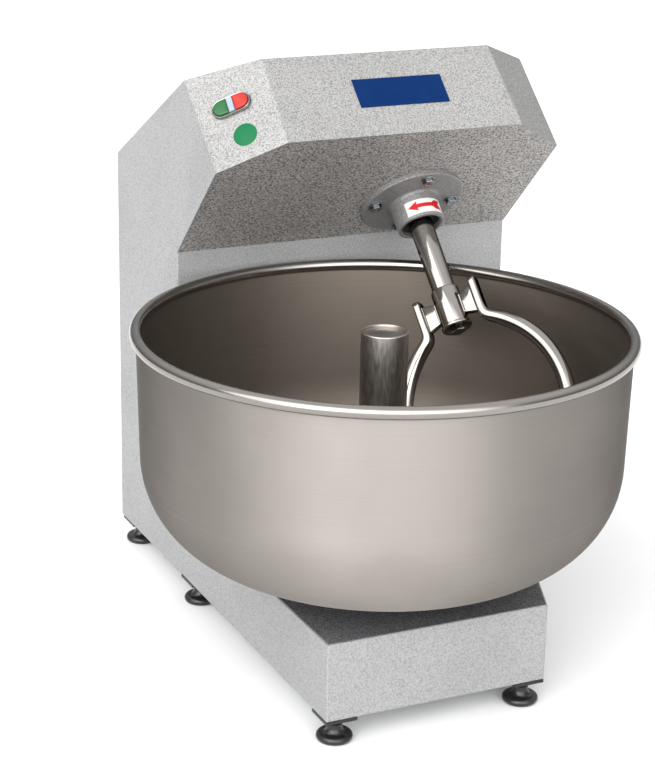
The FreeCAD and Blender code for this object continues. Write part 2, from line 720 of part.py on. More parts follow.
def build_feet():
    plates, pads, studs = [], [], []
    plate_low = D.base_low - D.foot_plate_thick
    half = D.foot_plate / 2
    for n, (x, y) in enumerate(FEET):
        box = block(f"foot_plate_box_{n}", (x - half, y - half, plate_low),
                    (x + half, y + half, D.base_low))
        bore = cylinder(f"foot_plate_bore_{n}", D.stud_radius + 0.4, 20, x, y, float(plate_low) - 5)
        plates.append(boolean("Cut", f"foot_plate_{n}", box, [bore]))
        stud = cylinder(f"stud_shank_{n}", D.stud_radius, 52, x, y, 8)
        nuts = [primitive("Prism", f"stud_nut_{n}_{level}", Placement(Vector(x, y, level), Rotation()),
                          Polygon=HEX, Circumradius=10.5, Height=7)
                for level in (float(plate_low) - 7, float(D.base_low + D.tray_thick + D.leg_thick))]
        studs.append(boolean("Fuse", f"foot_stud_{n}", stud, nuts))
        pads.append(foot_pad(n, x, y))
    add_part(compound("foot_plates", plates))
    add_part(compound("foot_pads", pads))
    add_part(compound("foot_studs", studs))


def foot_pad(number, x, y):
    """A levelling foot: a disc with a rolled edge, a cone and a neck, bored for its stud."""
    radius, edge = float(D.foot_radius), float(D.foot_edge)
    bead = edge / 2
    disc = Part.makeCylinder(radius - bead, edge, Vector(x, y, 0))
    rim = Part.makeTorus(radius - bead, bead, Vector(x, y, bead))
    cone = Part.makeCone(radius - bead, 11.0, 9.0, Vector(x, y, edge - 0.5))
    neck = Part.makeCylinder(11.0, 6.0, Vector(x, y, edge + 8.5))
    bore = Part.makeCylinder(float(D.stud_radius) + TINY, 40, Vector(x, y, 7.9))
    pad_shape = disc.fuse([rim, cone, neck]).cut(bore).removeSplitter()
    return shaped(f"foot_pad_{number}", pad_shape)


# ---------------------------------------------------------------- bowl and its drive

def build_bowl():
    skin = D.bowl_sheet
    body = new_body("bowl_shell")
    turn(body, [(0, D.bowl_low), (D.bowl_foot_radius, D.bowl_low), (D.bowl_radius, D.rim_z),
                (D.bowl_radius - skin, D.rim_z), (D.bowl_foot_radius - skin, D.bowl_low + skin),
                (0, D.bowl_low + skin)])
    round_edges(body, D.bowl_corner, circle_at(D.bowl_foot_radius, D.bowl_low))
    round_edges(body, D.bowl_corner - skin, circle_at(D.bowl_foot_radius - skin, D.bowl_low + skin))
    bead = primitive("Torus", "bowl_bead", Placement(Vector(0, 0, float(D.rim_z)), Rotation()),
                     Radius1=D.bowl_radius, Radius2=D.rim_bead)
    add_part(boolean("Fuse", "bowl", body, [bead]))

    post = new_body("centre_post")
    inner, outer, top = D.post_radius - 3, D.post_radius, D.post_top
    low = D.bowl_low + skin
    turn(post, [(inner, low), (outer, low), (outer, top - 1.5), (outer - 1.5, top), (outer - 3.5, top),
                (outer - 4.5, top - 2.5), (0, top - 5), (0, top - 8), (inner, top - 6)])
    add_part(post)

    hub = new_body("bowl_hub")
    turn(hub, [(D.spindle_radius + TINY, D.hub_low - 3), (D.bearing_radius, D.hub_low - 3),
               (D.bearing_radius, D.hub_low), (D.hub_radius, D.hub_low), (D.hub_radius, D.bowl_low),
               (0, D.bowl_low), (0, D.bowl_low - 3), (D.spindle_radius + TINY, D.bowl_low - 3)])
    holes = add_sketch(hub, "XY_Plane", D.hub_low - 1)
    for x, y in HUB_STUDS:
        add_circle(holes, (x, y), D.hub_stud + 0.2)
    pocket(hub, holes, 14.0)
    add_part(hub)
    studs = []
    for n, (x, y) in enumerate(HUB_STUDS):
        rod = cylinder(f"bowl_stud_rod_{n}", D.hub_stud, D.bowl_low - D.hub_low + D.hub_nut + 3, x, y,
                       D.hub_low - D.hub_nut - 3)
        spot = Placement(Vector(x, y, float(D.hub_low - D.hub_nut)), Rotation())
        nut = primitive("Prism", f"bowl_nut_{n}", spot, Polygon=HEX, Circumradius=D.hub_nut_radius,
                        Height=D.hub_nut)
        studs.append(boolean("Fuse", f"bowl_stud_{n}", rod, [nut]))
    add_part(compound("bowl_studs", studs))

    spindle = new_body("bowl_spindle")
    turn(spindle, [(0, D.spindle_low), (D.spindle_radius, D.spindle_low),
                   (D.spindle_radius, D.bowl_low - 3.2), (0, D.bowl_low - 3.2)])
    add_part(spindle)

    gear = involute_gear(D.ring_teeth, D.ring_module, D.ring_width, math.pi / 2)
    boss = Part.makeCylinder(40, float(D.ring_width) + 8, Vector(0, 0, -4))
    gear = gear.fuse(boss)
    gear = gear.cut(Part.makeCylinder(float(D.spindle_radius) + TINY, 80, Vector(0, 0, -20)))
    for index in range(6):
        angle = math.radians(60 * index + 30)
        spot = Vector(90 * math.cos(angle), 90 * math.sin(angle), -5)
        gear = gear.cut(Part.makeCylinder(26, 60, spot))
    add_part(shaped("bowl_ring_gear", gear), Placement(Vector(0, 0, float(D.ring_low)), Rotation()))


def build_bowl_bearings():
    low, flange = D.barrel_low, D.base_high
    bore = D.bearing_radius + TINY
    upper = flange + 3
    body = new_body("bowl_bearing_housing")
    turn(body, [(bore, low), (D.barrel_radius, low), (D.barrel_radius, flange), (D.housing_radius, flange),
                (D.housing_radius, flange + D.housing_flange), (D.neck_radius + 2, flange + D.housing_flange),
                (D.neck_radius, D.neck_top), (30, D.neck_top), (30, upper + D.bearing_width + 0.1),
                (bore, upper + D.bearing_width + 0.1), (bore, upper - 0.1), (38, upper - 0.1),
                (38, low + 2 + D.bearing_width + 0.1), (bore, low + 2 + D.bearing_width + 0.1)])
    holes = add_sketch(body, "XY_Plane", flange - 1)
    for x, y in HOUSING_BOLTS:
        add_circle(holes, (x, y), HOUSING_BOLT_HOLE)
    pocket(body, holes, D.housing_flange + 2)
    add_part(body)
    rings = [ring(f"bowl_bearing_{n}", D.spindle_radius + TINY, D.bearing_radius, D.bearing_width, z=z)
             for n, z in enumerate((upper, low + 2))]
    add_part(compound("bowl_bearings", rings))
    bolts = [bolt(f"housing_bolt_{n}", x, y, flange + D.housing_flange, 10.5, 8.0, 6.0, 23.0)
             for n, (x, y) in enumerate(HOUSING_BOLTS)]
    add_part(compound("bowl_housing_bolts", bolts))


def build_jackshaft():
    bore = D.jack_bearing + TINY
    leg_top = D.base_low + D.tray_thick + D.leg_thick
    deck_low = D.base_high - D.sheet - D.deck_thick
    inset = D.sheet + CHASSIS_GAP + D.leg_thick
    upper = block("jack_plate_upper", (-60, JACK_Y - 60, deck_low - D.jack_plate),
                  (60, JACK_Y + 60, deck_low))
    lower = block("jack_plate_lower", (-D.side_left + inset + 1, JACK_Y - 35, leg_top),
                  (flare_x(inset + 1, JACK_Y - 35), JACK_Y + 35, leg_top + D.jack_plate))
    plates = []
    for n, plate in enumerate((upper, lower)):
        hole = cylinder(f"jack_plate_bore_{n}", bore, 300, 0, JACK_Y, -50)
        plates.append(boolean("Cut", f"jack_plate_{n}", plate, [hole]))
    add_part(compound("jackshaft_plates", plates))
    levels = (deck_low - D.jack_plate + 0.5, leg_top + 0.5)
    rings = [ring(f"jack_bearing_{n}", D.jack_radius + TINY, D.jack_bearing, D.jack_bearing_width,
                  y=JACK_Y, z=z) for n, z in enumerate(levels)]
    add_part(compound("jackshaft_bearings", rings))

    gap_turn = -math.pi / 2 + math.pi / float(D.pinion_teeth)
    pinion = involute_gear(D.pinion_teeth, D.ring_module, D.ring_width + 3, gap_turn)
    pinion.translate(Vector(0, 0, float(D.ring_low) - 1.5))
    low = float(leg_top) + 1
    rod = Part.makeCylinder(float(D.jack_radius), float(deck_low) - 0.5 - low, Vector(0, 0, low))
    spot = Placement(Vector(0, float(JACK_Y), 0), Rotation())
    add_part(shaped("pinion_jackshaft", pinion.fuse(rod)), spot)
    wheel, spot = pulley("jackshaft_pulley", D.jack_pulley, D.jack_radius, D.belt_level, 0, JACK_Y, 6)
    add_part(wheel, spot)


def motor_shell(label, radius, low, high, shaft_radius):
    """A finned stator housing standing on its flange, hollow for the rotor."""
    body = new_body(label)
    inner = radius - 12
    flange = radius + 18
    turn(body, [(shaft_radius + 1, low), (flange, low), (flange, low + 8), (radius, low + 8),
                (radius, high - 12), (radius - 10, high), (0, high), (0, high - 4), (inner, high - 14),
                (inner, low + 9), (shaft_radius + 1, low + 9)])
    fin = add_sketch(body, "XY_Plane", low + 22)
    add_rectangle(fin, radius - 2, -1.5, radius + 6, 1.5)
    rib = pad(body, fin, high - low - 44)
    polar(body, [rib], 20)
    holes = add_sketch(body, "XY_Plane", low - 1)
    for index in range(4):
        angle = math.radians(45 + 90 * index)
        reach = float(radius) + MOTOR_BOLT_REACH
        add_circle(holes, (reach * math.cos(angle), reach * math.sin(angle)), MOTOR_BOLT_HOLE)
    pocket(body, holes, 12.0)
    return body


def motor_rotor(label, radius, low, high, shaft_radius, shaft_low):
    """Rotor core, shaft and cooling fan as one turned piece."""
    body = new_body(label)
    core = radius - 17
    fan = high - 30
    turn(body, [(0, shaft_low), (shaft_radius, shaft_low), (shaft_radius, low + 20), (core, low + 20),
                (core, fan - 14), (shaft_radius, fan - 14), (shaft_radius, fan), (core, fan),
                (core, fan + 6), (0, fan + 6)])
    return body


def build_bowl_motor():
    x, y = D.bowl_motor_x, D.bowl_motor_y
    low = D.shelf_low + D.shelf_thick
    spot = Placement(Vector(float(x), float(y), 0), Rotation())
    add_part(motor_shell("bowl_motor", D.bowl_motor_radius, low, D.bowl_motor_top, 12), spot)
    shaft_low = D.belt_level - D.pulley_width / 2 - 1
    rotor = motor_rotor("bowl_motor_rotor", D.bowl_motor_radius, low, D.bowl_motor_top, 12, shaft_low)
    add_part(rotor, spot)
    wheel, spot = pulley("bowl_motor_pulley", D.motor_pulley, 12, D.belt_level, x, y)
    add_part(wheel, spot)

    shelf = new_body("bowl_motor_shelf")
    sketch = add_sketch(shelf, "XY_Plane", D.shelf_low)
    gap = D.sheet + CHASSIS_GAP
    add_rectangle(sketch, -D.side_left + gap, D.column_front + gap, D.side_right - gap, D.rear - gap)
    add_circle(sketch, (x, y), 30)
    for bx, by in motor_bolt_spots(x, y, D.bowl_motor_radius):
        add_circle(sketch, (bx, by), MOTOR_BOLT_HOLE)
    pad(shelf, sketch, D.shelf_thick)
    add_part(shelf)

    centres = (0.0, float(JACK_Y)), (float(x), float(y))
    belts = []
    for n, offset in enumerate((-D.belt_pitch / 2, D.belt_pitch / 2)):
        belt = belt_solid(centres[0], D.jack_pulley, centres[1], D.motor_pulley,
                          float(D.belt_level + offset))
        belts.append(shaped(f"bowl_belt_{n}", belt))
    add_part(compound("bowl_drive_belts", belts))


def motor_bolt_spots(x, y, radius):
    reach = float(radius) + MOTOR_BOLT_REACH
    return [(float(x) + reach * math.cos(math.radians(45 + 90 * n)),
             float(y) + reach * math.sin(math.radians(45 + 90 * n))) for n in range(4)]


# ---------------------------------------------------------------- fork drive, in the fork frame

def build_flange():
    deep, wall, boss = D.flange_thick, D.boss_radius, D.boss_long
    bore = D.shaft_mouth + 1.5
    mouth = -deep - boss
    body = new_body("fork_flange")
    turn(body, [(bore, 10), (D.spigot_radius, 10), (D.spigot_radius, 0), (D.flange_radius, 0),
                (D.flange_radius, -deep + 3), (D.flange_radius - 3, -deep), (wall + 6, -deep),
                (wall + 1, -deep - 6), (wall, mouth), (wall - 6, mouth), (wall - 6, mouth + 12),
                (bore, mouth + 12)])
    holes = add_sketch(body, "XY_Plane", -deep - 1)
    for x, y in FLANGE_BOLTS:
        add_circle(holes, (x, y), FLANGE_BOLT_HOLE)
    pocket(body, holes, deep + 2)
    add_part(body, fork_local())
    bolts = [bolt(f"flange_bolt_{n}", x, y, -deep, 9.5, 7.0, 5.0, 18.0, down=False)
             for n, (x, y) in enumerate(FLANGE_BOLTS)]
    add_part(compound("fork_flange_bolts", bolts), fork_local())
    seal = ring("fork_shaft_seal", D.shaft_mouth + TINY, wall - 6 - TINY, 10.5, z=mouth + 1)
    add_part(seal, fork_local())


def build_gearbox():
    low, top, wall = float(D.box_low), float(D.box_top), float(D.box_wall)
    big, small, skin = float(D.box_radius), float(D.box_small), float(D.box_skin)
    axis, mate = (0.0, 0.0), (0.0, float(INPUT_Y))
    seat, mate_seat = float(D.fork_bearing) + TINY, float(D.input_bearing) + TINY
    width, mate_width = float(D.fork_bearing_width), float(D.input_bearing_width)

    def boss(spot, radius, z, tall):
        return Part.makeCylinder(radius, tall, Vector(*spot, z))

    shell = loop_solid(axis, big, mate, small, low, top)
    shell = shell.cut(loop_solid(axis, big - skin, mate, small - skin, low + wall, top + 1))
    shell = shell.fuse([boss(axis, seat + 8, low + wall - 1, width + 1),
                        boss(mate, mate_seat + 8, low + wall - 1, mate_width + 1)])
    cuts = [boss(axis, seat, low + wall, width + 1),
            boss(axis, float(D.spigot_radius) + 0.2, low - 1, wall + 1),
            boss(mate, mate_seat, low + wall, mate_width + 1)]
    cuts += [boss(spot, FLANGE_BOLT_HOLE, low - 1, wall + 2) for spot in FLANGE_BOLTS]
    cuts += [boss(spot, BOX_BOLT_HOLE, top - 15, 20) for spot in BOX_BOLTS]
    for cutter in cuts:
        shell = shell.cut(cutter)
    add_part(shaped("gearbox_housing", shell), fork_local())

    lid = loop_solid(axis, big, mate, small, top, top + 8)
    lid = lid.fuse([boss(axis, seat + 8, top - width, width + 1),
                    boss(mate, mate_seat + 8, top - mate_width, mate_width + 1)])
    cuts = [boss(axis, seat, top - width - 1, width + 1),
            boss(mate, mate_seat, top - mate_width - 1, mate_width + 1),
            boss(mate, float(D.input_radius) + 1, top - 1, 20)]
    cuts += [boss(spot, BOX_BOLT_HOLE, top - 1, 20) for spot in BOX_BOLTS]
    for cutter in cuts:
        lid = lid.cut(cutter)
    add_part(shaped("gearbox_cover", lid), fork_local())
    bolts = [bolt(f"box_bolt_{n}", x, y, top + 8, 5.8, 4.5, 3.0, 20.0)
             for n, (x, y) in enumerate(BOX_BOLTS)]
    add_part(compound("gearbox_cover_bolts", bolts), fork_local())
    rings = [ring("fork_bearing_low", D.shaft_radius + TINY, D.fork_bearing, D.fork_bearing_width,
                  z=low + wall),
             ring("fork_bearing_top", D.shaft_radius + TINY, D.fork_bearing, D.fork_bearing_width,
                  z=top - width),
             ring("input_bearing_low", D.input_radius + TINY, D.input_bearing, D.input_bearing_width,
                  y=INPUT_Y, z=low + wall),
             ring("input_bearing_top", D.input_radius + TINY, D.input_bearing, D.input_bearing_width,
                  y=INPUT_Y, z=top - mate_width)]
    add_part(compound("gearbox_bearings", rings), fork_local())


def build_fork_drive():
    spin = involute_gear(D.fork_teeth, D.fork_module, D.gear_width, math.pi / 2)
    spin.translate(Vector(0, 0, float(D.gear_low)))
    hub = Part.makeCylinder(34, float(D.gear_width) + 6, Vector(0, 0, float(D.gear_low) - 3))
    gear = spin.fuse(hub).cut(Part.makeCylinder(float(D.shaft_radius) + TINY, 200, Vector(0, 0, -50)))
    for index in range(6):
        angle = math.radians(60 * index)
        gear = gear.cut(Part.makeCylinder(16, 80, Vector(62 * math.cos(angle), 62 * math.sin(angle), 20)))
    add_part(shaped("fork_gear", gear), fork_local())

    gap_turn = -math.pi / 2 + math.pi / float(D.input_teeth)
    pinion = involute_gear(D.input_teeth, D.fork_module, D.gear_width + 3, gap_turn)
    pinion.translate(Vector(0, 0, float(D.gear_low) - 1.5))
    rod_low = float(D.box_low + D.box_wall) + 0.5
    rod_top = float(D.fork_belt_level + D.pulley_width / 2) + 1
    rod = Part.makeCylinder(float(D.input_radius), rod_top - rod_low, Vector(0, 0, rod_low))
    mate = Placement(Vector(0, float(INPUT_Y), 0), Rotation())
    add_part(shaped("input_pinion_shaft", pinion.fuse(rod)), fork_local() * mate)

    wheel, spot = pulley("input_pulley", D.input_pulley, D.input_radius, D.fork_belt_level, 0, INPUT_Y, 5)
    add_part(wheel, fork_local() * spot)
    x, y = D.fork_motor_x, D.fork_motor_y
    wheel, spot = pulley("fork_motor_pulley", D.fork_motor_pulley, 11, D.fork_belt_level, x, y)
    add_part(wheel, fork_local() * spot)

    flip = Rotation(Vector(1, 0, 0), 180)
    level = D.bracket_low
    hung = Placement(Vector(float(x), float(y), float(level)), flip)
    long = level - D.fork_motor_low
    add_part(motor_shell("fork_motor", D.fork_motor_radius, 0.0, long, 11), fork_local() * hung)
    reach = level - D.fork_belt_level - D.pulley_width / 2 - 1
    add_part(motor_rotor("fork_motor_rotor", D.fork_motor_radius, 0.0, long, 11, reach), fork_local() * hung)

    bracket = new_body("fork_motor_bracket")
    sketch = add_sketch(bracket, "XY_Plane", level)
    gap = D.sheet + CHASSIS_GAP
    add_rectangle(sketch, -D.side_left - D.fork_x + gap, D.fork_motor_y - 60,
                  D.side_right - D.fork_x - gap, D.fork_motor_y + 70)
    add_circle(sketch, (x, y), 26)
    for bx, by in motor_bolt_spots(x, y, D.fork_motor_radius):
        add_circle(sketch, (bx, by), MOTOR_BOLT_HOLE)
    pad(bracket, sketch, D.bracket_thick)
    add_part(bracket, fork_local())

    centres = (0.0, float(INPUT_Y)), (float(x), float(y))
    belts = []
    for n, offset in enumerate((-D.belt_pitch / 2, D.belt_pitch / 2)):
        belt = belt_solid(centres[0], D.input_pulley, centres[1], D.fork_motor_pulley,
                          float(D.fork_belt_level + offset))
        belts.append(shaped(f"fork_belt_{n}", belt))
    add_part(compound("fork_drive_belts", belts), fork_local())


def build_motor_bolts():
    """Four bolts through each motor's flange into the plate that carries it."""
    bolts = []
    top = float(D.shelf_low + D.shelf_thick) + 8
    for n, (x, y) in enumerate(motor_bolt_spots(D.bowl_motor_x, D.bowl_motor_y, D.bowl_motor_radius)):
        bolts.append(bolt(f"bowl_motor_bolt_{n}", x, y, top, 7.5, 5.5, 4.0, 16.0))
    spots = motor_bolt_spots(D.fork_motor_x, D.fork_motor_y, D.fork_motor_radius)
    for n, (x, y) in enumerate(spots):
        item = bolt(f"fork_motor_bolt_{n}", 0, 0, 0, 7.5, 5.5, 4.0, 16.0, down=False)
        item.Placement = fork_local() * Placement(Vector(x, y, float(D.bracket_low) - 8), Rotation())
        bolts.append(item)
    add_part(compound("motor_bolts", bolts))


# ---------------------------------------------------------------- fork

def build_fork():
    mouth, end = D.shaft_mouth, D.shaft_end
    shaft = new_body("fork_shaft")
    turn(shaft, [(0, D.box_top - 0.5), (D.shaft_radius, D.box_top - 0.5), (D.shaft_radius, 12), (mouth, 10),
                 (mouth, -60), (end, D.sleeve_top + 2), (end, D.sleeve_low + 2), (8.05, D.sleeve_low + 2),
                 (8.05, D.sleeve_low + 34), (0, D.sleeve_low + 40)])
    add_part(shaft, fork_local())

    spread = fork_local(-float(D.fork_turn))
    hub = new_body("fork_hub")
    turn(hub, [(end + TINY, D.sleeve_low), (D.sleeve_radius - 1, D.sleeve_low),
               (D.sleeve_radius, D.sleeve_low + 1), (D.sleeve_radius, D.sleeve_top - 2),
               (D.sleeve_radius - 2, D.sleeve_top), (end + TINY, D.sleeve_top)])
    top, low = D.sleeve_top, D.arm_start_z
    for side in (1, -1):
        for points, width in (
                ([(18.5, top - 18), (43, top - 8), (43, low + 4), (18.5, low + 14)], 12.0),
                ([(42, top - 4), (54, top - 2), (54, low), (42, low)], 24.0)):
            lug = add_sketch(hub, "XZ_Plane")
            add_outline(lug, [(side * x, z) for x, z in points])
            pad(hub, lug, width, midplane=True)
    add_part(hub, spread)

    arms = [fork_arm("right", 0.0), fork_arm("left", 180.0)]
    add_part(compound("fork_arms", arms), spread)

    washer = ring("fork_washer", 8.6, 23.5, 5.0, z=D.sleeve_low - 5)
    screw = bolt("fork_end_screw", 0, 0, D.sleeve_low - 5, 12.5, 9.0, 8.0, 34.0, down=False)
    add_part(compound("fork_end_bolt", [washer, screw]), spread)


def fork_arm(name, about):
    """One round bar of the lyre: an arc from its lug outwards and back in, with a ball end."""
    centre = Vector(float(D.arm_centre_x), 0, float(D.arm_centre_z))
    arc = float(D.arm_arc)
    first = math.degrees(math.asin((float(D.arm_start_z) - centre.z) / arc)) + 6
    last = math.degrees(math.asin((float(D.arm_end_z) - centre.z) / arc))
    stand = Rotation(Vector(1, 0, 0), 90) * Rotation(Vector(0, 0, 1), last)
    bar = primitive("Torus", f"arm_bar_{name}", Placement(centre, stand),
                    Radius1=D.arm_arc, Radius2=D.arm_radius, Angle3=first - last)
    tip = centre + Vector(arc * math.cos(math.radians(last)), 0, arc * math.sin(math.radians(last)))
    ball = primitive("Sphere", f"arm_ball_{name}", Placement(tip, Rotation()), Radius=D.arm_radius)
    whole = boolean("Fuse", f"arm_whole_{name}", bar, [ball])
    above = block(f"arm_top_{name}", (-200, -100, D.arm_start_z), (200, 100, D.arm_start_z + 200))
    arm = boolean("Cut", f"fork_arm_{name}", whole, [above])
    arm.Placement = Placement(Vector(0, 0, 0), Rotation(Vector(0, 0, 1), about))
    return arm


# ---------------------------------------------------------------- controls, plate and electrics

def build_controls():
    here = bevel_local() * Placement(Vector(float(D.pill_x), float(D.pill_y), 0), Rotation())
    long, wide, tall = float(D.pill_long), float(D.pill_wide), float(D.bezel_tall)
    wall, gap = float(D.bezel_wall), float(D.button_gap)
    stem, cap = float(D.button_stem), float(D.cap_tall)
    well = stadium(long - 2 * wall, wide - 2 * wall, 1.5, tall + 1)
    bezel = stadium(long, wide, 0, tall).cut(well)
    stem_x = long / 4 + 1
    for side in (-1, 1):
        bezel = bezel.cut(Part.makeCylinder(stem + 0.1, 20, Vector(side * stem_x, 0, -5)))
    add_part(shaped("control_bezel", bezel), here)

    half = float(D.lens_wide) / 2
    inner = stadium(long - 2 * wall - 2 * gap, wide - 2 * wall - 2 * gap, 1.5, cap)
    strip = Part.makeBox(2 * half, wide, cap, Vector(-half, -wide / 2, 1.5))
    add_part(shaped("indicator_lens", inner.common(strip)), here)
    for label, side in (("start_button", -1), ("stop_button", 1)):
        top = stadium(long - 2 * wall - 2 * gap, wide - 2 * wall - 2 * gap, 5.0, cap)
        start = half + gap if side > 0 else -long
        keep = Part.makeBox(long - half - gap, wide, 40, Vector(start, -wide / 2, -10))
        button = top.common(keep)
        button = button.fuse(Part.makeCylinder(stem, 7.5, Vector(side * stem_x, 0, -2)))
        add_part(shaped(label, button), here)

    block_shape = Part.makeBox(46, 18, 40, Vector(-23, -9, -47))
    for side in (-1, 1):
        block_shape = block_shape.cut(Part.makeCylinder(stem + 0.5, 4, Vector(side * stem_x, 0, -10)))
    collar = stadium(long - 16, wide - 14, -7.2, -0.2)
    collar = collar.cut(stadium(long - 19, wide - 17, -8, 2))
    add_part(shaped("contact_block", block_shape.fuse(collar)), here)


def build_plate():
    spot = front_local() * Placement(Vector(float(D.plate_x), float(D.plate_up), 0), Rotation())
    body = new_body("front_plate")
    sketch = add_sketch(body, "XY_Plane")
    wide, high = D.plate_wide / 2, D.plate_high / 2
    add_rectangle(sketch, -wide, -high, wide, high)
    pad(body, sketch, D.plate_thick)
    add_part(body, spot)


def build_electrics():
    corner = Vector(float(D.box_x), float(D.box_y), float(D.box_z))
    skin = float(D.box_sheet)
    size = [float(D.box_wide), float(D.box_long), float(D.box_tall)]
    case = Part.makeBox(*size, corner)
    case = case.cut(Part.makeBox(*[side - 2 * skin for side in size], corner + Vector(skin, skin, skin)))
    case = case.fuse(Part.makeBox(size[0] - 4, 4, 20, corner + Vector(2, 1, size[2] - 10)))
    lid_gap = Part.makeBox(skin + 1, size[1] - 20, size[2] - 20, corner + Vector(-1, 10, 10))
    add_part(shaped("contactor_box", case.cut(lid_gap)))
    size = [float(D.contactor_wide), float(D.contactor_long), float(D.contactor_tall)]
    add_part(shaped("contactor", Part.makeBox(*size, corner + Vector(9, 20, 30))))

    x, z = GLAND_SPOT
    rear, back = float(D.rear), Vector(0, 1, 0)
    inside, nut_radius = float(D.gland_inside), float(D.gland_nut)
    tube = Part.makeCylinder(float(D.gland_radius), float(D.gland_long), Vector(x, rear - inside, z), back)
    corners = []
    for index in range(HEX + 1):
        angle = 2 * math.pi * index / HEX
        corners.append(Vector(x + nut_radius * math.cos(angle), rear, z + nut_radius * math.sin(angle)))
    nut = Part.Face(Part.makePolygon(corners)).extrude(Vector(0, 8, 0))
    dome = Part.makeCone(nut_radius - 1, float(D.gland_radius) + 0.5, 12, Vector(x, rear + 8, z), back)
    inner_nut = Part.makeCylinder(nut_radius - 1, 6, Vector(x, rear - float(D.sheet) - 6, z), back)
    bore = Part.makeCylinder(float(D.gland_bore), 60, Vector(x, rear - 20, z), back)
    add_part(shaped("cable_gland", tube.fuse([nut, dome, inner_nut]).cut(bore)))


# ---------------------------------------------------------------- positions shared by several pieces

FEET = [(-148.0, -171.0), (148.0, -171.0), (-148.0, 330.0), (358.0, 345.0), (-148.0, 600.0), (369.0, 600.0)]
TRAY_SCREWS = [(-150.0, 80.0), (-150.0, 470.0), (0.0, -174.0), (372.0, 480.0), (120.0, 611.0)]
COVER_SCREWS = [(x, z) for x in (-150.0, 373.0) for z in (190.0, 330.0, 470.0, 620.0)]
COVER_SCREWS += [(111.0, 643.0)]
GLAND_SPOT = (300.0, 100.0)


def circle_spots(radius, count, first):
    return [(radius * math.cos(math.radians(first + 360 * n / count)),
             radius * math.sin(math.radians(first + 360 * n / count))) for n in range(count)]


HOUSING_BOLTS = circle_spots(80.0, 4, 45)
HUB_STUDS = circle_spots(75.0, 6, 0)
FLANGE_BOLTS = circle_spots(float(D.bolt_circle), 4, 0)
BOX_BOLTS = circle_spots(106.0, 5, 180) + [(0.0, float(INPUT_Y) + 46.0)]


def check_document():
    """Stop on any feature that failed or any sub-part without one sound shape."""
    bad = [obj.Name for obj in doc.Objects if {"Invalid", "Error"} & set(obj.State)]
    for part in PARTS:
        if part.Shape.isNull() or not part.Shape.isValid() or not part.Shape.Solids:
            bad.append(part.Label)
    if bad:
        raise RuntimeError(f"failed objects: {bad}")


def main():
    build_base()
    build_column()
    build_head()
    build_rear_cover()
    build_chassis()
    build_feet()
    build_bowl()
    build_bowl_bearings()
    build_jackshaft()
    build_bowl_motor()
    build_flange()
    build_gearbox()
    build_fork_drive()
    build_motor_bolts()
    build_fork()
    build_controls()
    build_plate()
    build_electrics()
    doc.recompute()
    check_document()
    os.makedirs("parts", exist_ok=True)
    box = FreeCAD.BoundBox()
    for part in PARTS:
        part.Shape.exportStep(f"parts/{part.Label}.step")
        box.add(part.Shape.optimalBoundingBox())
    print(f"{len(PARTS)} sub-parts, box {box}")


main()
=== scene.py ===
import json
import math
from math import cos, pi, radians, sin

import bmesh
import bpy
from mathutils import Matrix, Vector


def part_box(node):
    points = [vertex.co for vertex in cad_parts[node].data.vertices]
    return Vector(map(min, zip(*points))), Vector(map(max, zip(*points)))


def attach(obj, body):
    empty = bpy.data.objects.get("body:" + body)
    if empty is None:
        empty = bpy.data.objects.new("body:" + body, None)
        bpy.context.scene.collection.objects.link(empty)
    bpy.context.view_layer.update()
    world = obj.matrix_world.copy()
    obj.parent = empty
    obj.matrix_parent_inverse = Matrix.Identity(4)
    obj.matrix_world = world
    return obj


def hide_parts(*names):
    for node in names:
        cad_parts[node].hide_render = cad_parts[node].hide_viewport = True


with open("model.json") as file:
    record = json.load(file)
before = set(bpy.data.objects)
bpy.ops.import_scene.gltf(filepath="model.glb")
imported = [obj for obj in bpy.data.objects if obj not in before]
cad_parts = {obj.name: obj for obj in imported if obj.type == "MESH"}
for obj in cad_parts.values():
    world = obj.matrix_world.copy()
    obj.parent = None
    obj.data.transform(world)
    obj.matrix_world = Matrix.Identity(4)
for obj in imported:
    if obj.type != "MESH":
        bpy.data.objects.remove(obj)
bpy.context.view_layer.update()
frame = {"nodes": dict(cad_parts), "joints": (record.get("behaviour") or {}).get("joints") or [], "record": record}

# A fork dough mixer in a plain studio. Everything is in metres, in the part's own frame: +Z up,
# +Y towards the rear cover, the floor at Z = 0. Places come from the frame's joints and boxes.

JOINTS = {joint["name"]: joint for joint in frame["joints"]}
MM = 0.001


def middle(node):
    low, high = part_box(node)
    return (low + high) / 2


def frame_of(x_axis, z_axis, origin):
    """A placement from its X and Z directions and its origin."""
    z = Vector(z_axis).normalized()
    y = z.cross(Vector(x_axis)).normalized()
    x = y.cross(z)
    return Matrix.Translation(origin) @ Matrix((x, y, z)).transposed().to_4x4()


BOWL_SPOT = Vector(JOINTS["bowl_spin"]["pos_m"])
BOWL_PLACE = Matrix.Translation((BOWL_SPOT.x, BOWL_SPOT.y, 0))
FORK_PLACE = frame_of((1, 0, 0), JOINTS["fork_spin"]["axis"], JOINTS["fork_spin"]["pos_m"])
UNDERSIDE = -FORK_PLACE.col[2].to_3d()

# The left bevel of the head: its normal, the direction of its lower edge, and the way up it.
BEVEL_NORMAL = -Vector(JOINTS["start_press"]["axis"])
BEVEL_ALONG = BEVEL_NORMAL.cross(UNDERSIDE).normalized()
if BEVEL_ALONG.x < 0:
    BEVEL_ALONG = -BEVEL_ALONG
BEVEL_UP = BEVEL_NORMAL.cross(BEVEL_ALONG)


# ---------------------------------------------------------------- materials

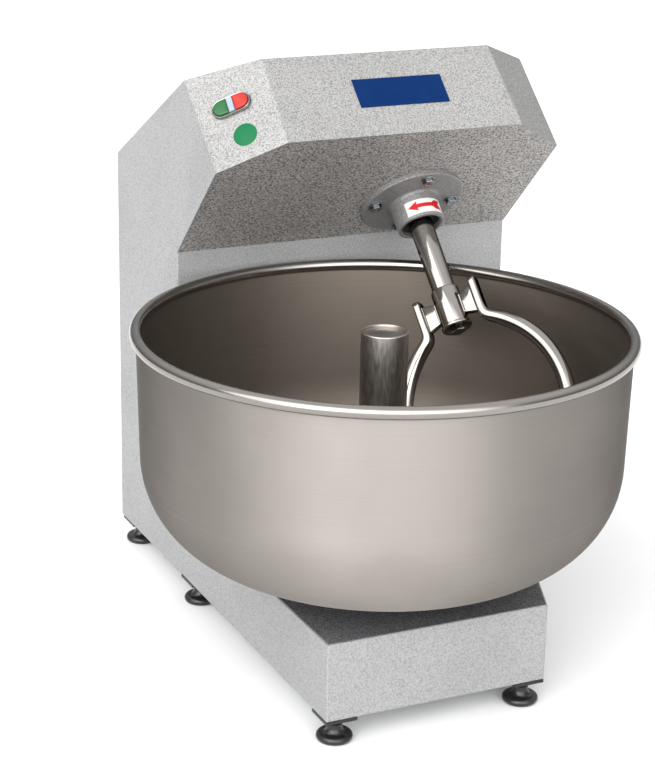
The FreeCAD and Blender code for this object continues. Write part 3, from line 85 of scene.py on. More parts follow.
class Paint:
    """A Principled material and short ways to add and join its nodes; ramps and mixes return sockets."""

    def __init__(self, name, **values):
        self.material = bpy.data.materials.new(name)
        self.material.use_nodes = True
        self.tree = self.material.node_tree
        self.shader = self.tree.nodes["Principled BSDF"]
        for key, value in values.items():
            self.set(self.shader, key, value)

    def set(self, node, key, value):
        socket = node.inputs[key.replace("_", " ")] if isinstance(key, str) else node.inputs[key]
        if isinstance(value, bpy.types.NodeSocket):
            self.tree.links.new(value, socket)
        elif isinstance(value, tuple) and len(value) == 3 and socket.type == "RGBA":
            socket.default_value = (*value, 1.0)
        else:
            socket.default_value = value

    def node(self, kind, settings=None, **values):
        node = self.tree.nodes.new(kind)
        for key, value in (settings or {}).items():
            setattr(node, key, value)
        for key, value in values.items():
            self.set(node, key, value)
        return node

    def place(self, scale=(1, 1, 1)):
        """Where a point is on the piece, in metres, stretched along each axis."""
        spot = self.node("ShaderNodeTexCoord").outputs["Object"]
        return self.node("ShaderNodeMapping", Vector=spot, Scale=scale).outputs["Vector"]

    def noise(self, scale, detail=3.0, vector=None, rough=0.5):
        vector = vector or self.place()
        node = self.node("ShaderNodeTexNoise", Vector=vector, Scale=scale, Detail=detail, Roughness=rough)
        return node.outputs["Fac"]

    def cells(self, scale, vector=None, spread=1.0, smooth=0.4):
        node = self.node("ShaderNodeTexVoronoi", {"feature": "SMOOTH_F1"}, Vector=vector or self.place(),
                         Scale=scale, Smoothness=smooth, Randomness=spread)
        return node.outputs["Distance"]

    def ramp(self, value, low, high, start=0.0, end=1.0):
        """A value taken from low (at start) to high (at end)."""
        node = self.node("ShaderNodeMapRange", {"interpolation_type": "SMOOTHSTEP"}, Value=value)
        for index, number in enumerate((start, end, low, high), start=1):
            node.inputs[index].default_value = number
        return node.outputs["Result"]

    def mix(self, factor, one, two, kind="MIX"):
        node = self.node("ShaderNodeMix", {"data_type": "RGBA", "blend_type": kind})
        self.set(node, 0, factor)
        self.set(node, 6, one)
        self.set(node, 7, two)
        return node.outputs[2]

    def bump(self, height, depth, strength=1.0, after=None):
        node = self.node("ShaderNodeBump", Height=height, Distance=depth, Strength=strength)
        if after is not None:
            self.set(node, "Normal", after)
        return node.outputs["Normal"]


def hammered(name, light, dark, speckle, bump, rough=0.42, size=1.0):
    """Hammer-finish paint: pooled cells with darker rims, flakes, and slow clouds of tone."""
    paint = Paint(name, Metallic=0.25)
    cells = paint.cells(330.0 / size)
    grain = paint.noise(430.0 / size, 2.0)
    clouds = paint.noise(9.0, 3.0)
    rims = paint.ramp(cells, 0.0, 0.4 * speckle, 0.28, 0.62)
    flakes = paint.ramp(grain, 0.0, speckle, 0.50, 0.60)
    tone = paint.mix(rims, light, dark)
    tone = paint.mix(flakes, tone, dark)
    tone = paint.mix(paint.ramp(clouds, 0.0, 0.16, 0.40, 0.70), tone, (0.55, 0.55, 0.55), "MULTIPLY")
    paint.set(paint.shader, "Base Color", tone)
    paint.set(paint.shader, "Roughness", paint.ramp(grain, rough - 0.06, rough + 0.12))
    first = paint.bump(cells, 0.5 * MM, bump)
    paint.set(paint.shader, "Normal", paint.bump(grain, 0.2 * MM, bump, first))
    return paint.material


def spun_steel(name, colour, rough, line_scale=900.0, anisotropic=0.55):
    """Satin stainless steel with fine lines that run round the vertical axis."""
    paint = Paint(name, Metallic=1.0, Anisotropic=anisotropic, Anisotropic_Rotation=0.25,
                  Specular_Tint=(0.35, 0.35, 0.35))
    spot = paint.node("ShaderNodeTexCoord").outputs["Object"]
    centred = paint.node("ShaderNodeMapping", Vector=spot,
                         Location=(-BOWL_SPOT.x, -BOWL_SPOT.y, 0)).outputs["Vector"]
    parts = paint.node("ShaderNodeSeparateXYZ", Vector=centred)
    flat = paint.node("ShaderNodeCombineXYZ", X=parts.outputs["X"], Y=parts.outputs["Y"])
    radius = paint.node("ShaderNodeVectorMath", {"operation": "LENGTH"}, Vector=flat.outputs[0])
    lines = paint.node("ShaderNodeCombineXYZ", X=radius.outputs["Value"], Y=parts.outputs["Z"])
    streaks = paint.noise(line_scale, 2.0, lines.outputs[0])
    clouds = paint.noise(5.0, 3.0)
    darker = tuple(0.88 * part for part in colour)
    tone = paint.mix(paint.ramp(clouds, 0.0, 1.0, 0.35, 0.7), colour, darker)
    paint.set(paint.shader, "Base Color", tone)
    paint.set(paint.shader, "Roughness", paint.ramp(streaks, rough - 0.05, rough + 0.07, 0.3, 0.7))
    paint.set(paint.shader, "Normal", paint.bump(streaks, 0.02 * MM, 0.35))
    tangent = paint.node("ShaderNodeTangent", {"direction_type": "RADIAL", "axis": "Z"})
    paint.set(paint.shader, "Tangent", tangent.outputs[0])
    return paint.material


def bare_metal(name, colour, rough, grain_scale=180.0, grain=0.03, bump=0.1, metallic=1.0, smear=0.6,
               edge=1.0):
    """Polished, turned or plated metal with faint smears and scratches."""
    paint = Paint(name, Metallic=metallic, Specular_Tint=(edge, edge, edge))
    smears = paint.noise(22.0, 4.0)
    fine = paint.noise(grain_scale, 4.0, paint.place((1, 1, 0.25)))
    darker = tuple(0.8 * part for part in colour)
    tone = paint.mix(paint.ramp(smears, 0.0, smear, 0.4, 0.75), colour, darker)
    paint.set(paint.shader, "Base Color", tone)
    smoothest = max(rough - grain, 0.02)
    paint.set(paint.shader, "Roughness", paint.ramp(fine, smoothest, rough + 2 * grain, 0.3, 0.7))
    paint.set(paint.shader, "Normal", paint.bump(fine, 0.05 * MM, bump))
    return paint.material


def moulded(name, colour, rough, coat=0.0, bump=0.15, scale=900.0, worn=None, shine=0.3):
    """Plastic, rubber or enamel with a fine moulded grain and a slight change of tone."""
    paint = Paint(name, Coat_Weight=coat, Coat_Roughness=0.08, Specular_IOR_Level=shine)
    grain = paint.noise(scale, 2.0)
    tone = paint.noise(30.0, 3.0)
    other = worn or tuple(min(1.0, 1.25 * part + 0.004) for part in colour)
    paint.set(paint.shader, "Base Color", paint.mix(paint.ramp(tone, 0.0, 0.7, 0.35, 0.75), colour, other))
    paint.set(paint.shader, "Roughness", paint.ramp(grain, rough - 0.05, rough + 0.1))
    paint.set(paint.shader, "Normal", paint.bump(grain, 0.05 * MM, bump))
    return paint.material


SILVER = hammered("silver_hammered_paint", (0.325, 0.328, 0.328), (0.095, 0.095, 0.095), 0.36, 0.32)
# Painted light: a copy of the silver paint with a slightly lighter tone and stronger speckle, for the head's faces
# turned to the front.
FRONT_LIT_SILVER = hammered("front_painted_light_paint", (0.352, 0.350, 0.345), (0.088, 0.085, 0.080), 0.58, 0.36)
# Painted shade: a darker, more speckled copy of the silver paint for the shaded parts, such as the head's
# underside panel, which faces down into shade.
SHADED = hammered("painted_shade_hammered_paint", (0.46, 0.438, 0.420), (0.028, 0.026, 0.024), 0.80, 0.45, size=1.3)
# Painted shadow: a darker copy of the paint for the base's top plate, which lies in the bowl's shadow.
DECK_SHADOW_PAINT = hammered("deck_painted_shadow_paint", (0.21, 0.21, 0.22), (0.04, 0.04, 0.045), 0.76, 0.45)
INNER = moulded("grey_primer", (0.32, 0.33, 0.34), 0.55)
CASTING = hammered("silver_casting_paint", (0.235, 0.230, 0.225), (0.085, 0.083, 0.081), 0.55, 0.35, 0.40)
STAINLESS = spun_steel("spun_stainless", (0.318, 0.294, 0.271), 0.45, anisotropic=0.85)
# Painted shade: a darker copy of the spun steel for the inside of the bowl.
BOWL_INSIDE_SHADE = spun_steel("bowl_inside_painted_shade_steel", (0.215, 0.186, 0.158), 0.56, anisotropic=0.35)
POST_STEEL = bare_metal("post_stainless", (0.40, 0.37, 0.34), 0.33, 260.0, 0.03, 0.04, smear=0.2)
RIM_STEEL = bare_metal("rolled_rim_steel", (0.31, 0.29, 0.27), 0.20, 40.0, 0.01, 0.0, smear=0.2)
POLISHED = bare_metal("polished_steel", (0.34, 0.32, 0.30), 0.07, smear=0.3, edge=0.06)
TURNED = bare_metal("turned_steel", (0.55, 0.55, 0.56), 0.28)
ZINC = bare_metal("zinc_plate", (0.36, 0.38, 0.40), 0.22, edge=0.3)
IRON = bare_metal("cast_iron", (0.12, 0.12, 0.125), 0.6, 90.0, 0.06, 0.4, 0.6)
ALLOY = bare_metal("die_cast_alloy", (0.42, 0.44, 0.46), 0.42, 120.0, 0.05, 0.3)
BLACK_STEEL = moulded("black_steel", (0.012, 0.012, 0.013), 0.35, 0.2)
BLACK_PLASTIC = moulded("black_plastic", (0.010, 0.010, 0.011), 0.28, 0.35)
RUBBER = moulded("black_rubber", (0.012, 0.012, 0.012), 0.6)
SATIN_CHROME = bare_metal("satin_chrome", (0.34, 0.33, 0.32), 0.18, edge=0.1)
LENS = moulded("milky_lens", (0.25, 0.30, 0.37), 0.35, 0.15)
GREEN = moulded("green_button", (0.010, 0.085, 0.022), 0.35, 0.2, worn=(0.016, 0.12, 0.035))
RED = moulded("red_button", (0.34, 0.012, 0.007), 0.4, 0.15, worn=(0.40, 0.028, 0.016))
BLUE = moulded("blue_enamel", (0.001, 0.017, 0.082), 0.50, worn=(0.002, 0.020, 0.092), shine=0.06)
STICKER_GREEN = moulded("green_paper", (0.0, 0.115, 0.038), 0.6, worn=(0.002, 0.125, 0.044))
STICKER_WHITE = moulded("white_paper", (0.60, 0.59, 0.57), 0.5, worn=(0.56, 0.55, 0.53))
ARROW_RED = moulded("red_ink", (0.42, 0.006, 0.010), 0.5)

FINISHES = {
    "paint_grey": SILVER, "paint_shaded": SHADED, "paint_inner": INNER, "cast_grey": CASTING,
    "stainless": STAINLESS, "polished_steel": POLISHED, "machined_steel": TURNED,
    "cast_iron": IRON, "motor_alloy": ALLOY, "zinc_steel": ZINC, "black_steel": BLACK_STEEL,
    "black_plastic": BLACK_PLASTIC, "belt_rubber": RUBBER, "bezel_metal": SATIN_CHROME,
    "lens_white": LENS, "button_green": GREEN, "button_red": RED, "plate_blue": BLUE,
}
SLOTS = {part["node"]: part["material_slot"] for part in frame["record"]["subparts"]}
BODY_OF = {node: body for body, nodes in frame["record"]["behaviour"]["bodies"].items() for node in nodes}

# The base's top plate takes the darker paint: painted shadow from the bowl above it.
SPECIAL = {"base_top_plate": DECK_SHADOW_PAINT}


def finish_of(node):
    return SPECIAL.get(node, FINISHES[SLOTS[node]])


for node_name, node_object in frame["nodes"].items():
    node_object.data.materials.clear()
    node_object.data.materials.append(finish_of(node_name))


# ---------------------------------------------------------------- mesh helpers

def finish_piece(name, mesh, material, body, nodes=(), sharp=35.0):
    """Put a finished bmesh into the scene as a piece that rides on a body."""
    data = bpy.data.meshes.new(name)
    bmesh.ops.recalc_face_normals(mesh, faces=mesh.faces)
    mesh.to_mesh(data)
    mesh.free()
    for face in data.polygons:
        face.use_smooth = True
    data.set_sharp_from_angle(angle=radians(sharp))
    data.materials.append(material)
    piece = bpy.data.objects.new(name, data)
    bpy.context.scene.collection.objects.link(piece)
    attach(piece, body)
    if nodes:
        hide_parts(*nodes)
    return piece


def arc(centre, radius, start, end, count):
    """Points on an arc in a profile's own plane; angles are in degrees."""
    steps = [radians(start + (end - start) * step / count) for step in range(count + 1)]
    return [(centre[0] + radius * cos(angle), centre[1] + radius * sin(angle)) for angle in steps]


def rounded(points, radius, count=4):
    """An open outline with its inner corners turned into arcs of one radius (or one radius each)."""
    sizes = radius if isinstance(radius, (list, tuple)) else [radius] * (len(points) - 2)
    result = [points[0]]
    for before, corner, after, size in zip(points, points[1:], points[2:], sizes):
        corner, to_before = Vector(corner), Vector(before) - Vector(corner)
        to_after = Vector(after) - corner
        if size <= 0:
            result.append(tuple(corner))
            continue
        half = to_before.angle(to_after) / 2
        reach = size / math.tan(half)
        first = corner + to_before.normalized() * reach
        last = corner + to_after.normalized() * reach
        middle_way = (to_before.normalized() + to_after.normalized()).normalized()
        centre = corner + middle_way * (size / sin(half))
        from_centre, to_centre = first - centre, last - centre
        turn = from_centre.angle_signed(to_centre)
        for step in range(count + 1):
            spun = Matrix.Rotation(-turn * step / count, 2) @ from_centre
            result.append(tuple(centre + spun))
    result.append(points[-1])
    return result


def lathe(profile, place, steps=96, closed=False):
    """Turn (radius, height) points about the placement's Z axis."""
    mesh = bmesh.new()
    rings = []
    for radius, height in profile:
        if radius < 1e-6:
            rings.append([mesh.verts.new(place @ Vector((0, 0, height)))])
            continue
        rings.append([mesh.verts.new(place @ Vector((radius * cos(2 * pi * step / steps),
                                                     radius * sin(2 * pi * step / steps), height)))
                      for step in range(steps)])
    pairs = list(zip(rings, rings[1:])) + ([(rings[-1], rings[0])] if closed else [])
    for one, two in pairs:
        for step in range(steps):
            after = (step + 1) % steps
            corners = [one[step % len(one)], one[after % len(one)],
                       two[after % len(two)], two[step % len(two)]]
            corners = list(dict.fromkeys(corners))
            if len(corners) > 2:
                mesh.faces.new(corners)
    return mesh


def joined(meshes):
    """One bmesh holding several."""
    whole = bmesh.new()
    for part in meshes:
        data = bpy.data.meshes.new("part")
        part.to_mesh(data)
        part.free()
        whole.from_mesh(data)
        bpy.data.meshes.remove(data)
    return whole


def copy_of(node):
    """A CAD part's own shape as a bmesh with its flat faces whole again."""
    mesh = bmesh.new()
    mesh.from_mesh(frame["nodes"][node].data)
    bmesh.ops.remove_doubles(mesh, verts=mesh.verts, dist=0.01 * MM)
    bmesh.ops.dissolve_limit(mesh, angle_limit=radians(0.5), verts=mesh.verts, edges=mesh.edges)
    return mesh


def flattened(piece):
    """Keep a piece's large faces flat where rounded edges meet them."""
    weights = piece.modifiers.new("flat_faces", "WEIGHTED_NORMAL")
    weights.keep_sharp = True
    weights.weight = 100
    return piece


def soften(node, bend, pick=None, steps=3, angle=25.0, sharp=35.0):
    """A copy of a CAD part whose outer edges are rounded, standing for that part."""
    mesh = copy_of(node)
    edges = [edge for edge in mesh.edges
             if len(edge.link_faces) == 2 and edge.calc_face_angle(0) > radians(angle)
             and edge.is_convex and (pick is None or pick(edge))]
    bmesh.ops.bevel(mesh, geom=edges, offset=bend, segments=steps, profile=0.5, affect="EDGES",
                    clamp_overlap=True)
    piece = finish_piece(f"{node}_formed", mesh, finish_of(node), BODY_OF[node], [node], sharp)
    return flattened(piece)


# ---------------------------------------------------------------- casing

BASE_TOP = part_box("base_casing")[1].z
COLUMN_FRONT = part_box("column_casing")[0].y
HEAD_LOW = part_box("column_casing")[1].z
PANEL_AREA = 0.004
BEND = 3.0 * MM
FRONT_FACING = -0.4          # the front face and both bevels get the front copy of the paint, with a lighter tone and stronger speckle: painted light


def outward(face, centre):
    return face.normal.dot(face.calc_center_median() - centre) > 0


def casing_bends(node, seams):
    """A test for the outer bends of a sheet casing: large faces outside, and no edge on a seam."""
    centre = middle(node)

    def is_bend(edge):
        one, two = edge.link_faces
        spot = (edge.verts[0].co + edge.verts[1].co) / 2
        flat = abs(edge.verts[0].co.z - edge.verts[1].co.z) < MM
        on_seam = flat and any(abs(spot.z - level) < MM and spot.y > start for level, start in seams)
        large = min(one.calc_area(), two.calc_area()) > PANEL_AREA
        return large and outward(one, centre) and outward(two, centre) and not on_seam

    return is_bend


def form_base():
    """The base casing, its top edge split where the column stands on it, so only the free part bends."""
    source = copy_of("base_casing")
    geometry = list(source.verts) + list(source.edges) + list(source.faces)
    bmesh.ops.bisect_plane(source, geom=geometry, plane_co=(0, COLUMN_FRONT, 0), plane_no=(0, 1, 0))
    test = casing_bends("base_casing", [(BASE_TOP, COLUMN_FRONT - MM)])
    edges = [edge for edge in source.edges if len(edge.link_faces) == 2 and edge.is_convex
             and edge.calc_face_angle(0) > radians(25) and test(edge)]
    bmesh.ops.bevel(source, geom=edges, offset=2.2 * MM, segments=4, profile=0.5, affect="EDGES")
    flattened(finish_piece("base_casing_formed", source, SILVER, BODY_OF["base_casing"],
                           ["base_casing"]))


form_base()
soften("column_casing", BEND, casing_bends("column_casing", [(BASE_TOP, -1), (HEAD_LOW, -1)]), 4)
head = soften("head_casing", BEND, casing_bends("head_casing", [(HEAD_LOW, -1)]), 4)
# The faces turned to the front take the second copy of the paint: painted light, lighter and more speckled where
# the light falls on them differently.
head.data.materials.append(FRONT_LIT_SILVER)
for face in head.data.polygons:
    if face.normal.y < FRONT_FACING:
        face.material_index = 1
soften("rear_cover", 0.8 * MM)


# ---------------------------------------------------------------- fasteners, stacked solids and lumps

def hex_head(place, radius, tall, dished=True):
    """A hexagon head or nut with a chamfered top, standing on the placement's floor."""
    top = [(radius * 0.90, tall), (radius * 0.62, tall), (radius * 0.56, tall - 0.5 * MM if dished else tall),
           (0, tall - 0.6 * MM if dished else tall)]
    side = [(0, 0), (radius * 0.96, 0), (radius, 0.5 * MM), (radius, tall - 0.9 * MM)]
    return lathe(side + top, place, 6)


def washer(place, inner, outer, thick):
    """A flat washer with eased edges."""
    edge = thick / 3
    return lathe([(inner, 0), (outer - edge, 0), (outer, edge), (outer, thick - edge), (outer - edge, thick),
                  (inner, thick)], place, 48, closed=True)


def stacked(outlines, place):
    """A solid through equal-length closed outlines of 3-D points, one above another."""
    mesh = bmesh.new()
    rings = [[mesh.verts.new(place @ Vector(point)) for point in outline] for outline in outlines]
    for one, two in zip(rings, rings[1:]):
        for index in range(len(one)):
            after = (index + 1) % len(one)
            mesh.faces.new((one[index], one[after], two[after], two[index]))
    mesh.faces.new(list(reversed(rings[0])))
    mesh.faces.new(rings[-1])
    return mesh


def islands(node):
    """The low and high corners of each separate lump of a CAD part."""
    mesh = bmesh.new()
    mesh.from_mesh(frame["nodes"][node].data)
    bmesh.ops.remove_doubles(mesh, verts=mesh.verts, dist=0.01 * MM)
    seen, boxes = set(), []
    for start in mesh.verts:
        if start in seen:
            continue
        seen.add(start)
        lump, front = [], [start]
        while front:
            vert = front.pop()
            lump.append(vert.co.copy())
            for edge in vert.link_edges:
                other = edge.other_vert(vert)
                if other not in seen:
                    seen.add(other)
                    front.append(other)
        boxes.append((Vector([min(spot[axis] for spot in lump) for axis in range(3)]),
                      Vector([max(spot[axis] for spot in lump) for axis in range(3)])))
    mesh.free()
    return boxes


# ---------------------------------------------------------------- bowl

RIM_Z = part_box("bowl")[1].z - 9 * MM
BOWL_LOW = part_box("bowl")[0].z
BOWL_RADIUS, FOOT_RADIUS, CORNER, SKIN, BEAD = 350 * MM, 342 * MM, 150 * MM, 3 * MM, 9 * MM


def form_bowl():
    """The bowl as one closed sheet: rounded floor, a slightly tapered wall, and its rolled rim."""
    outer = rounded([(0, BOWL_LOW), (FOOT_RADIUS, BOWL_LOW), (BOWL_RADIUS, RIM_Z)], CORNER, 28)
    foot, top = outer[-2], outer[-1]
    wall = [(foot[0] + (top[0] - foot[0]) * step / 8, foot[1] + (top[1] - foot[1]) * step / 8)
            for step in range(1, 9)]
    inside = [(0, BOWL_LOW + SKIN), (FOOT_RADIUS - SKIN, BOWL_LOW + SKIN), (BOWL_RADIUS - SKIN, RIM_Z)]
    inner = rounded(inside, CORNER - SKIN, 28)
    mesh = lathe(outer[:-1] + wall + list(reversed(inner)), BOWL_PLACE, 256)
    shell = finish_piece("bowl_shell", mesh, STAINLESS, "bowl", ["bowl"], 40)
    # The faces that look inwards take the darker steel: painted shade inside the bowl.
    shell.data.materials.append(BOWL_INSIDE_SHADE)
    for face in shell.data.polygons:
        away = Vector((face.center.x - BOWL_SPOT.x, face.center.y - BOWL_SPOT.y, -100 * MM))
        face.material_index = int(face.normal.dot(away) < 0)
    rim = lathe(arc((BOWL_RADIUS, RIM_Z), BEAD, 0, 360, 32)[:-1], BOWL_PLACE, 256, closed=True)
    finish_piece("bowl_rolled_rim", rim, RIM_STEEL, "bowl", sharp=60)


def form_post():
    """The centre post: a tube with a rolled lip, a dished cap welded inside it and a weld at its foot."""
    radius = 34 * MM
    low, top = BOWL_LOW + SKIN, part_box("centre_post")[1].z
    lip = arc((radius - 1.9 * MM, top - 1.9 * MM), 1.9 * MM, 0, 180, 8)
    cap = [(radius - 3.8 * MM, top - 4.4 * MM), (radius - 5.0 * MM, top - 5.2 * MM),
           (radius - 9 * MM, top - 5.0 * MM), (radius * 0.45, top - 3.4 * MM),
           (radius * 0.15, top - 2.8 * MM), (0, top - 2.7 * MM)]
    foot = [(0, low), (radius + 6 * MM, low + 0.2 * MM)]
    weld = arc((radius + 6 * MM, low + 6 * MM), 6 * MM, -90, -175, 6)
    mesh = lathe(foot + weld + [(radius, low + 9 * MM), (radius, low + 40 * MM), (radius, top - 60 * MM)]
                 + lip + cap, BOWL_PLACE, 96)
    finish_piece("centre_post_tube", mesh, POST_STEEL, "bowl", ["centre_post"], 40)


form_bowl()
form_post()
soften("bowl_hub", 1.0 * MM)
soften("bowl_studs", 0.5 * MM)
soften("bowl_bearing_housing", 1.5 * MM)
soften("bowl_housing_bolts", 0.7 * MM)


# ---------------------------------------------------------------- fork shaft, flange and seal

# Heights are along the fork's axis, from the head's underside: positive inside the head.
FLANGE_RADIUS, FLANGE_THICK, BOSS_RADIUS, BOSS_WALL = 81 * MM, 8 * MM, 37 * MM, 6 * MM
MOUTH, SEAL_DEPTH = -51 * MM, 12 * MM
SPIGOT_RADIUS, SPIGOT_TALL = 44.9 * MM, 10 * MM
BOLT_CIRCLE, WASHER_THICK, BOLT_RADIUS = 65 * MM, 1.6 * MM, 4.9 * MM
JOURNAL_RADIUS, MOUTH_RADIUS, END_RADIUS = 20 * MM, 18.5 * MM, 17.5 * MM
SHAFT_TOP, SHAFT_LOW, TAPER_TOP, TAPER_LOW = 91.5 * MM, -224 * MM, -60 * MM, -163.2 * MM
SCREW_BORE, SCREW_BORE_TOP = 8.05 * MM, -192 * MM
BOSS_DRAFT = 1.2 * MM        # how much wider the boss is at the flange than at its mouth


def form_flange():
    """The bolted flange with its boss, cast in one and painted like the head."""
    seat, recess = MOUTH + SEAL_DEPTH, BOSS_RADIUS - BOSS_WALL
    outline = [(JOURNAL_RADIUS, seat), (JOURNAL_RADIUS, SPIGOT_TALL), (SPIGOT_RADIUS, SPIGOT_TALL),
               (SPIGOT_RADIUS, 0), (FLANGE_RADIUS, 0), (FLANGE_RADIUS, -FLANGE_THICK),
               (BOSS_RADIUS + BOSS_DRAFT, -FLANGE_THICK), (BOSS_RADIUS, MOUTH), (recess, MOUTH),
               (recess, seat), (JOURNAL_RADIUS, seat)]
    sizes = [0, 0, 0, 0, 2.6 * MM, 6 * MM, 2.4 * MM, 1.6 * MM, 0]
    mesh = lathe(rounded(outline, sizes, 6)[:-1], FORK_PLACE, 128, closed=True)
    finish_piece("fork_flange_casting", mesh, CASTING, BODY_OF["fork_flange"], ["fork_flange"])


def form_flange_bolts():
    """Hexagon bolts on washers; the ends of their shanks stand inside the head."""
    lumps = []
    for turn in range(4):
        seat = Matrix.Translation((BOLT_CIRCLE, 0, -FLANGE_THICK)) @ Matrix.Rotation(pi, 4, "X")
        spot = FORK_PLACE @ Matrix.Rotation(turn * pi / 2, 4, "Z") @ seat
        lumps.append(washer(spot, 5.0 * MM, 11.5 * MM, WASHER_THICK))
        turned = Matrix.Rotation(0.35 + 0.5 * turn, 4, "Z")
        lumps.append(hex_head(spot @ Matrix.Translation((0, 0, WASHER_THICK)) @ turned, 9.0 * MM, 5.4 * MM))
        shank = [(0, 0.4 * MM), (BOLT_RADIUS, 0.4 * MM), (BOLT_RADIUS, -17 * MM),
                 (BOLT_RADIUS - 0.7 * MM, -18 * MM), (0, -18 * MM)]
        lumps.append(lathe(shank, spot, 32))
    finish_piece("flange_bolts_and_washers", joined(lumps), ZINC, BODY_OF["fork_flange_bolts"],
                 ["fork_flange_bolts"])


def form_seal():
    """The shaft seal: a black ring with a dust lip, set back inside the boss."""
    inner, outer = MOUTH_RADIUS + 0.2 * MM, BOSS_RADIUS - BOSS_WALL - 0.1 * MM
    profile = [(outer, MOUTH + 11.5 * MM), (outer, MOUTH + 8.0 * MM), (outer - 1.2 * MM, MOUTH + 7.2 * MM),
               (outer - 3.0 * MM, MOUTH + 8.0 * MM), (inner + 4.0 * MM, MOUTH + 10.0 * MM),
               (inner + 2.4 * MM, MOUTH + 10.2 * MM), (inner + 1.0 * MM, MOUTH + 7.8 * MM),
               (inner, MOUTH + 7.4 * MM), (inner, MOUTH + 11.5 * MM)]
    mesh = lathe(profile, FORK_PLACE, 96, closed=True)
    finish_piece("shaft_seal_ring", mesh, RUBBER, BODY_OF["fork_shaft_seal"],
                 ["fork_shaft_seal"])


def form_shaft():
    """The polished fork shaft, tapering from the seal down to a shoulder in the fork's sleeve."""
    journal = [(0, SHAFT_TOP), (JOURNAL_RADIUS - MM, SHAFT_TOP), (JOURNAL_RADIUS, SHAFT_TOP - MM),
               (JOURNAL_RADIUS, SPIGOT_TALL + 2 * MM)]
    taper = [(MOUTH_RADIUS, SPIGOT_TALL), (MOUTH_RADIUS, TAPER_TOP), (END_RADIUS + 0.1 * MM, TAPER_LOW),
             (END_RADIUS, TAPER_LOW - MM)]
    end = [(END_RADIUS, SHAFT_LOW + 0.6 * MM), (END_RADIUS - 0.6 * MM, SHAFT_LOW)]
    bore = [(SCREW_BORE, SHAFT_LOW), (SCREW_BORE, SCREW_BORE_TOP), (0, SCREW_BORE_TOP + 6 * MM)]
    profile = journal + taper + end + bore
    mesh = lathe(profile, FORK_PLACE, 128)
    finish_piece("fork_shaft_polished", mesh, POLISHED, "fork", ["fork_shaft"], 20)


def on_boss(angle, height, lift):
    """A point just off the boss: angle in degrees from the boss's front, height above the mouth."""
    radius = BOSS_RADIUS + 0.15 * MM + lift + BOSS_DRAFT * height / (-MOUTH)
    turn = radians(angle - 90)
    return FORK_PLACE @ Vector((radius * cos(turn), radius * sin(turn), MOUTH + height))


def boss_patch(outline, thick, lift, step=2.5):
    """A thin sticker bent round the boss: its outline in degrees and metres, cut into upright strips."""
    angles = [point[0] for point in outline]
    flat = bmesh.new()
    flat.faces.new([flat.verts.new((angle, 1000 * height, 0)) for angle, height in outline])
    cut = min(angles) + step
    while cut < max(angles):
        geometry = list(flat.verts) + list(flat.edges) + list(flat.faces)
        bmesh.ops.bisect_plane(flat, geom=geometry, plane_co=(cut, 0, 0), plane_no=(1, 0, 0))
        cut += step
    body = bmesh.ops.extrude_face_region(flat, geom=list(flat.faces))
    for vert in [item for item in body["geom"] if isinstance(item, bmesh.types.BMVert)]:
        vert.co.z = 1.0
    for vert in flat.verts:
        vert.co = on_boss(vert.co.x, vert.co.y * MM, lift + thick * vert.co.z)
    return flat


def form_label():
    """A white paper label with a red arrow that shows which way the fork turns."""
    white = boss_patch([(-52, 4.5 * MM), (50, 4.5 * MM), (50, 28 * MM), (-52, 28 * MM)], 0.20 * MM, 0)
    finish_piece("turning_label", white, STICKER_WHITE, BODY_OF["fork_flange"], sharp=50)
    centre = 17.0 * MM
    half = [(-46, 0), (-22, 8.2), (-24, 3.2), (14, 3.2), (24, 7.6), (44, 7.6), (34, 0)]
    arrow = [(angle, centre + across * MM) for angle, across in half]
    arrow += [(angle, centre - across * MM) for angle, across in reversed(half[1:-1])]
    red = boss_patch(arrow, 0.12 * MM, 0.21 * MM)
    finish_piece("turning_arrow", red, ARROW_RED, BODY_OF["fork_flange"], sharp=50)


form_flange()
form_flange_bolts()
form_seal()
form_shaft()
form_label()


# ---------------------------------------------------------------- fork

SPREAD = FORK_PLACE @ Matrix.Rotation(radians(-45), 4, "Z")
SLEEVE_TOP, SLEEVE_LOW = -166 * MM, -226 * MM
SLEEVE_RADIUS, SLEEVE_BORE = 21.5 * MM, END_RADIUS + 0.05 * MM
WEB_NEAR, WEB_FAR, WEB_HALF = 17.5, 44.5, 6.0        # millimetres out from the axis, and half as thick
DISC_RADIUS, DISC_THICK = 23.5 * MM, 5 * MM
ARC_CENTRE, ARC_RADIUS, ARM_RADIUS = (-34 * MM, -370 * MM), 161.8 * MM, 11.5 * MM
ARM_END = -468 * MM
STRAP_THICK, STRAP_WIDE, STRAP_POWER = 6.0 * MM, 12.6 * MM, 0.42


def smooth(value, low, high):
    """0 below low, 1 above high, and a soft step between them."""
    share = min(1.0, max(0.0, (value - low) / (high - low)))
    return share * share * (3 - 2 * share)


def arm_path():
    """Centre line of one arm in its own plane: a straight strap, a quick bend, then the long arc."""
    last = math.degrees(math.asin((ARM_END - ARC_CENTRE[1]) / ARC_RADIUS))
    strap = [(47.0 * MM, (-169 - 5.0 * step) * MM) for step in range(11)]
    knee = [(47.6 * MM, -224 * MM), (49.2 * MM, -228.5 * MM), (51.8 * MM, -232.0 * MM)]
    curve = arc(ARC_CENTRE, ARC_RADIUS, 56.5, last, 60)
    return strap + knee + curve


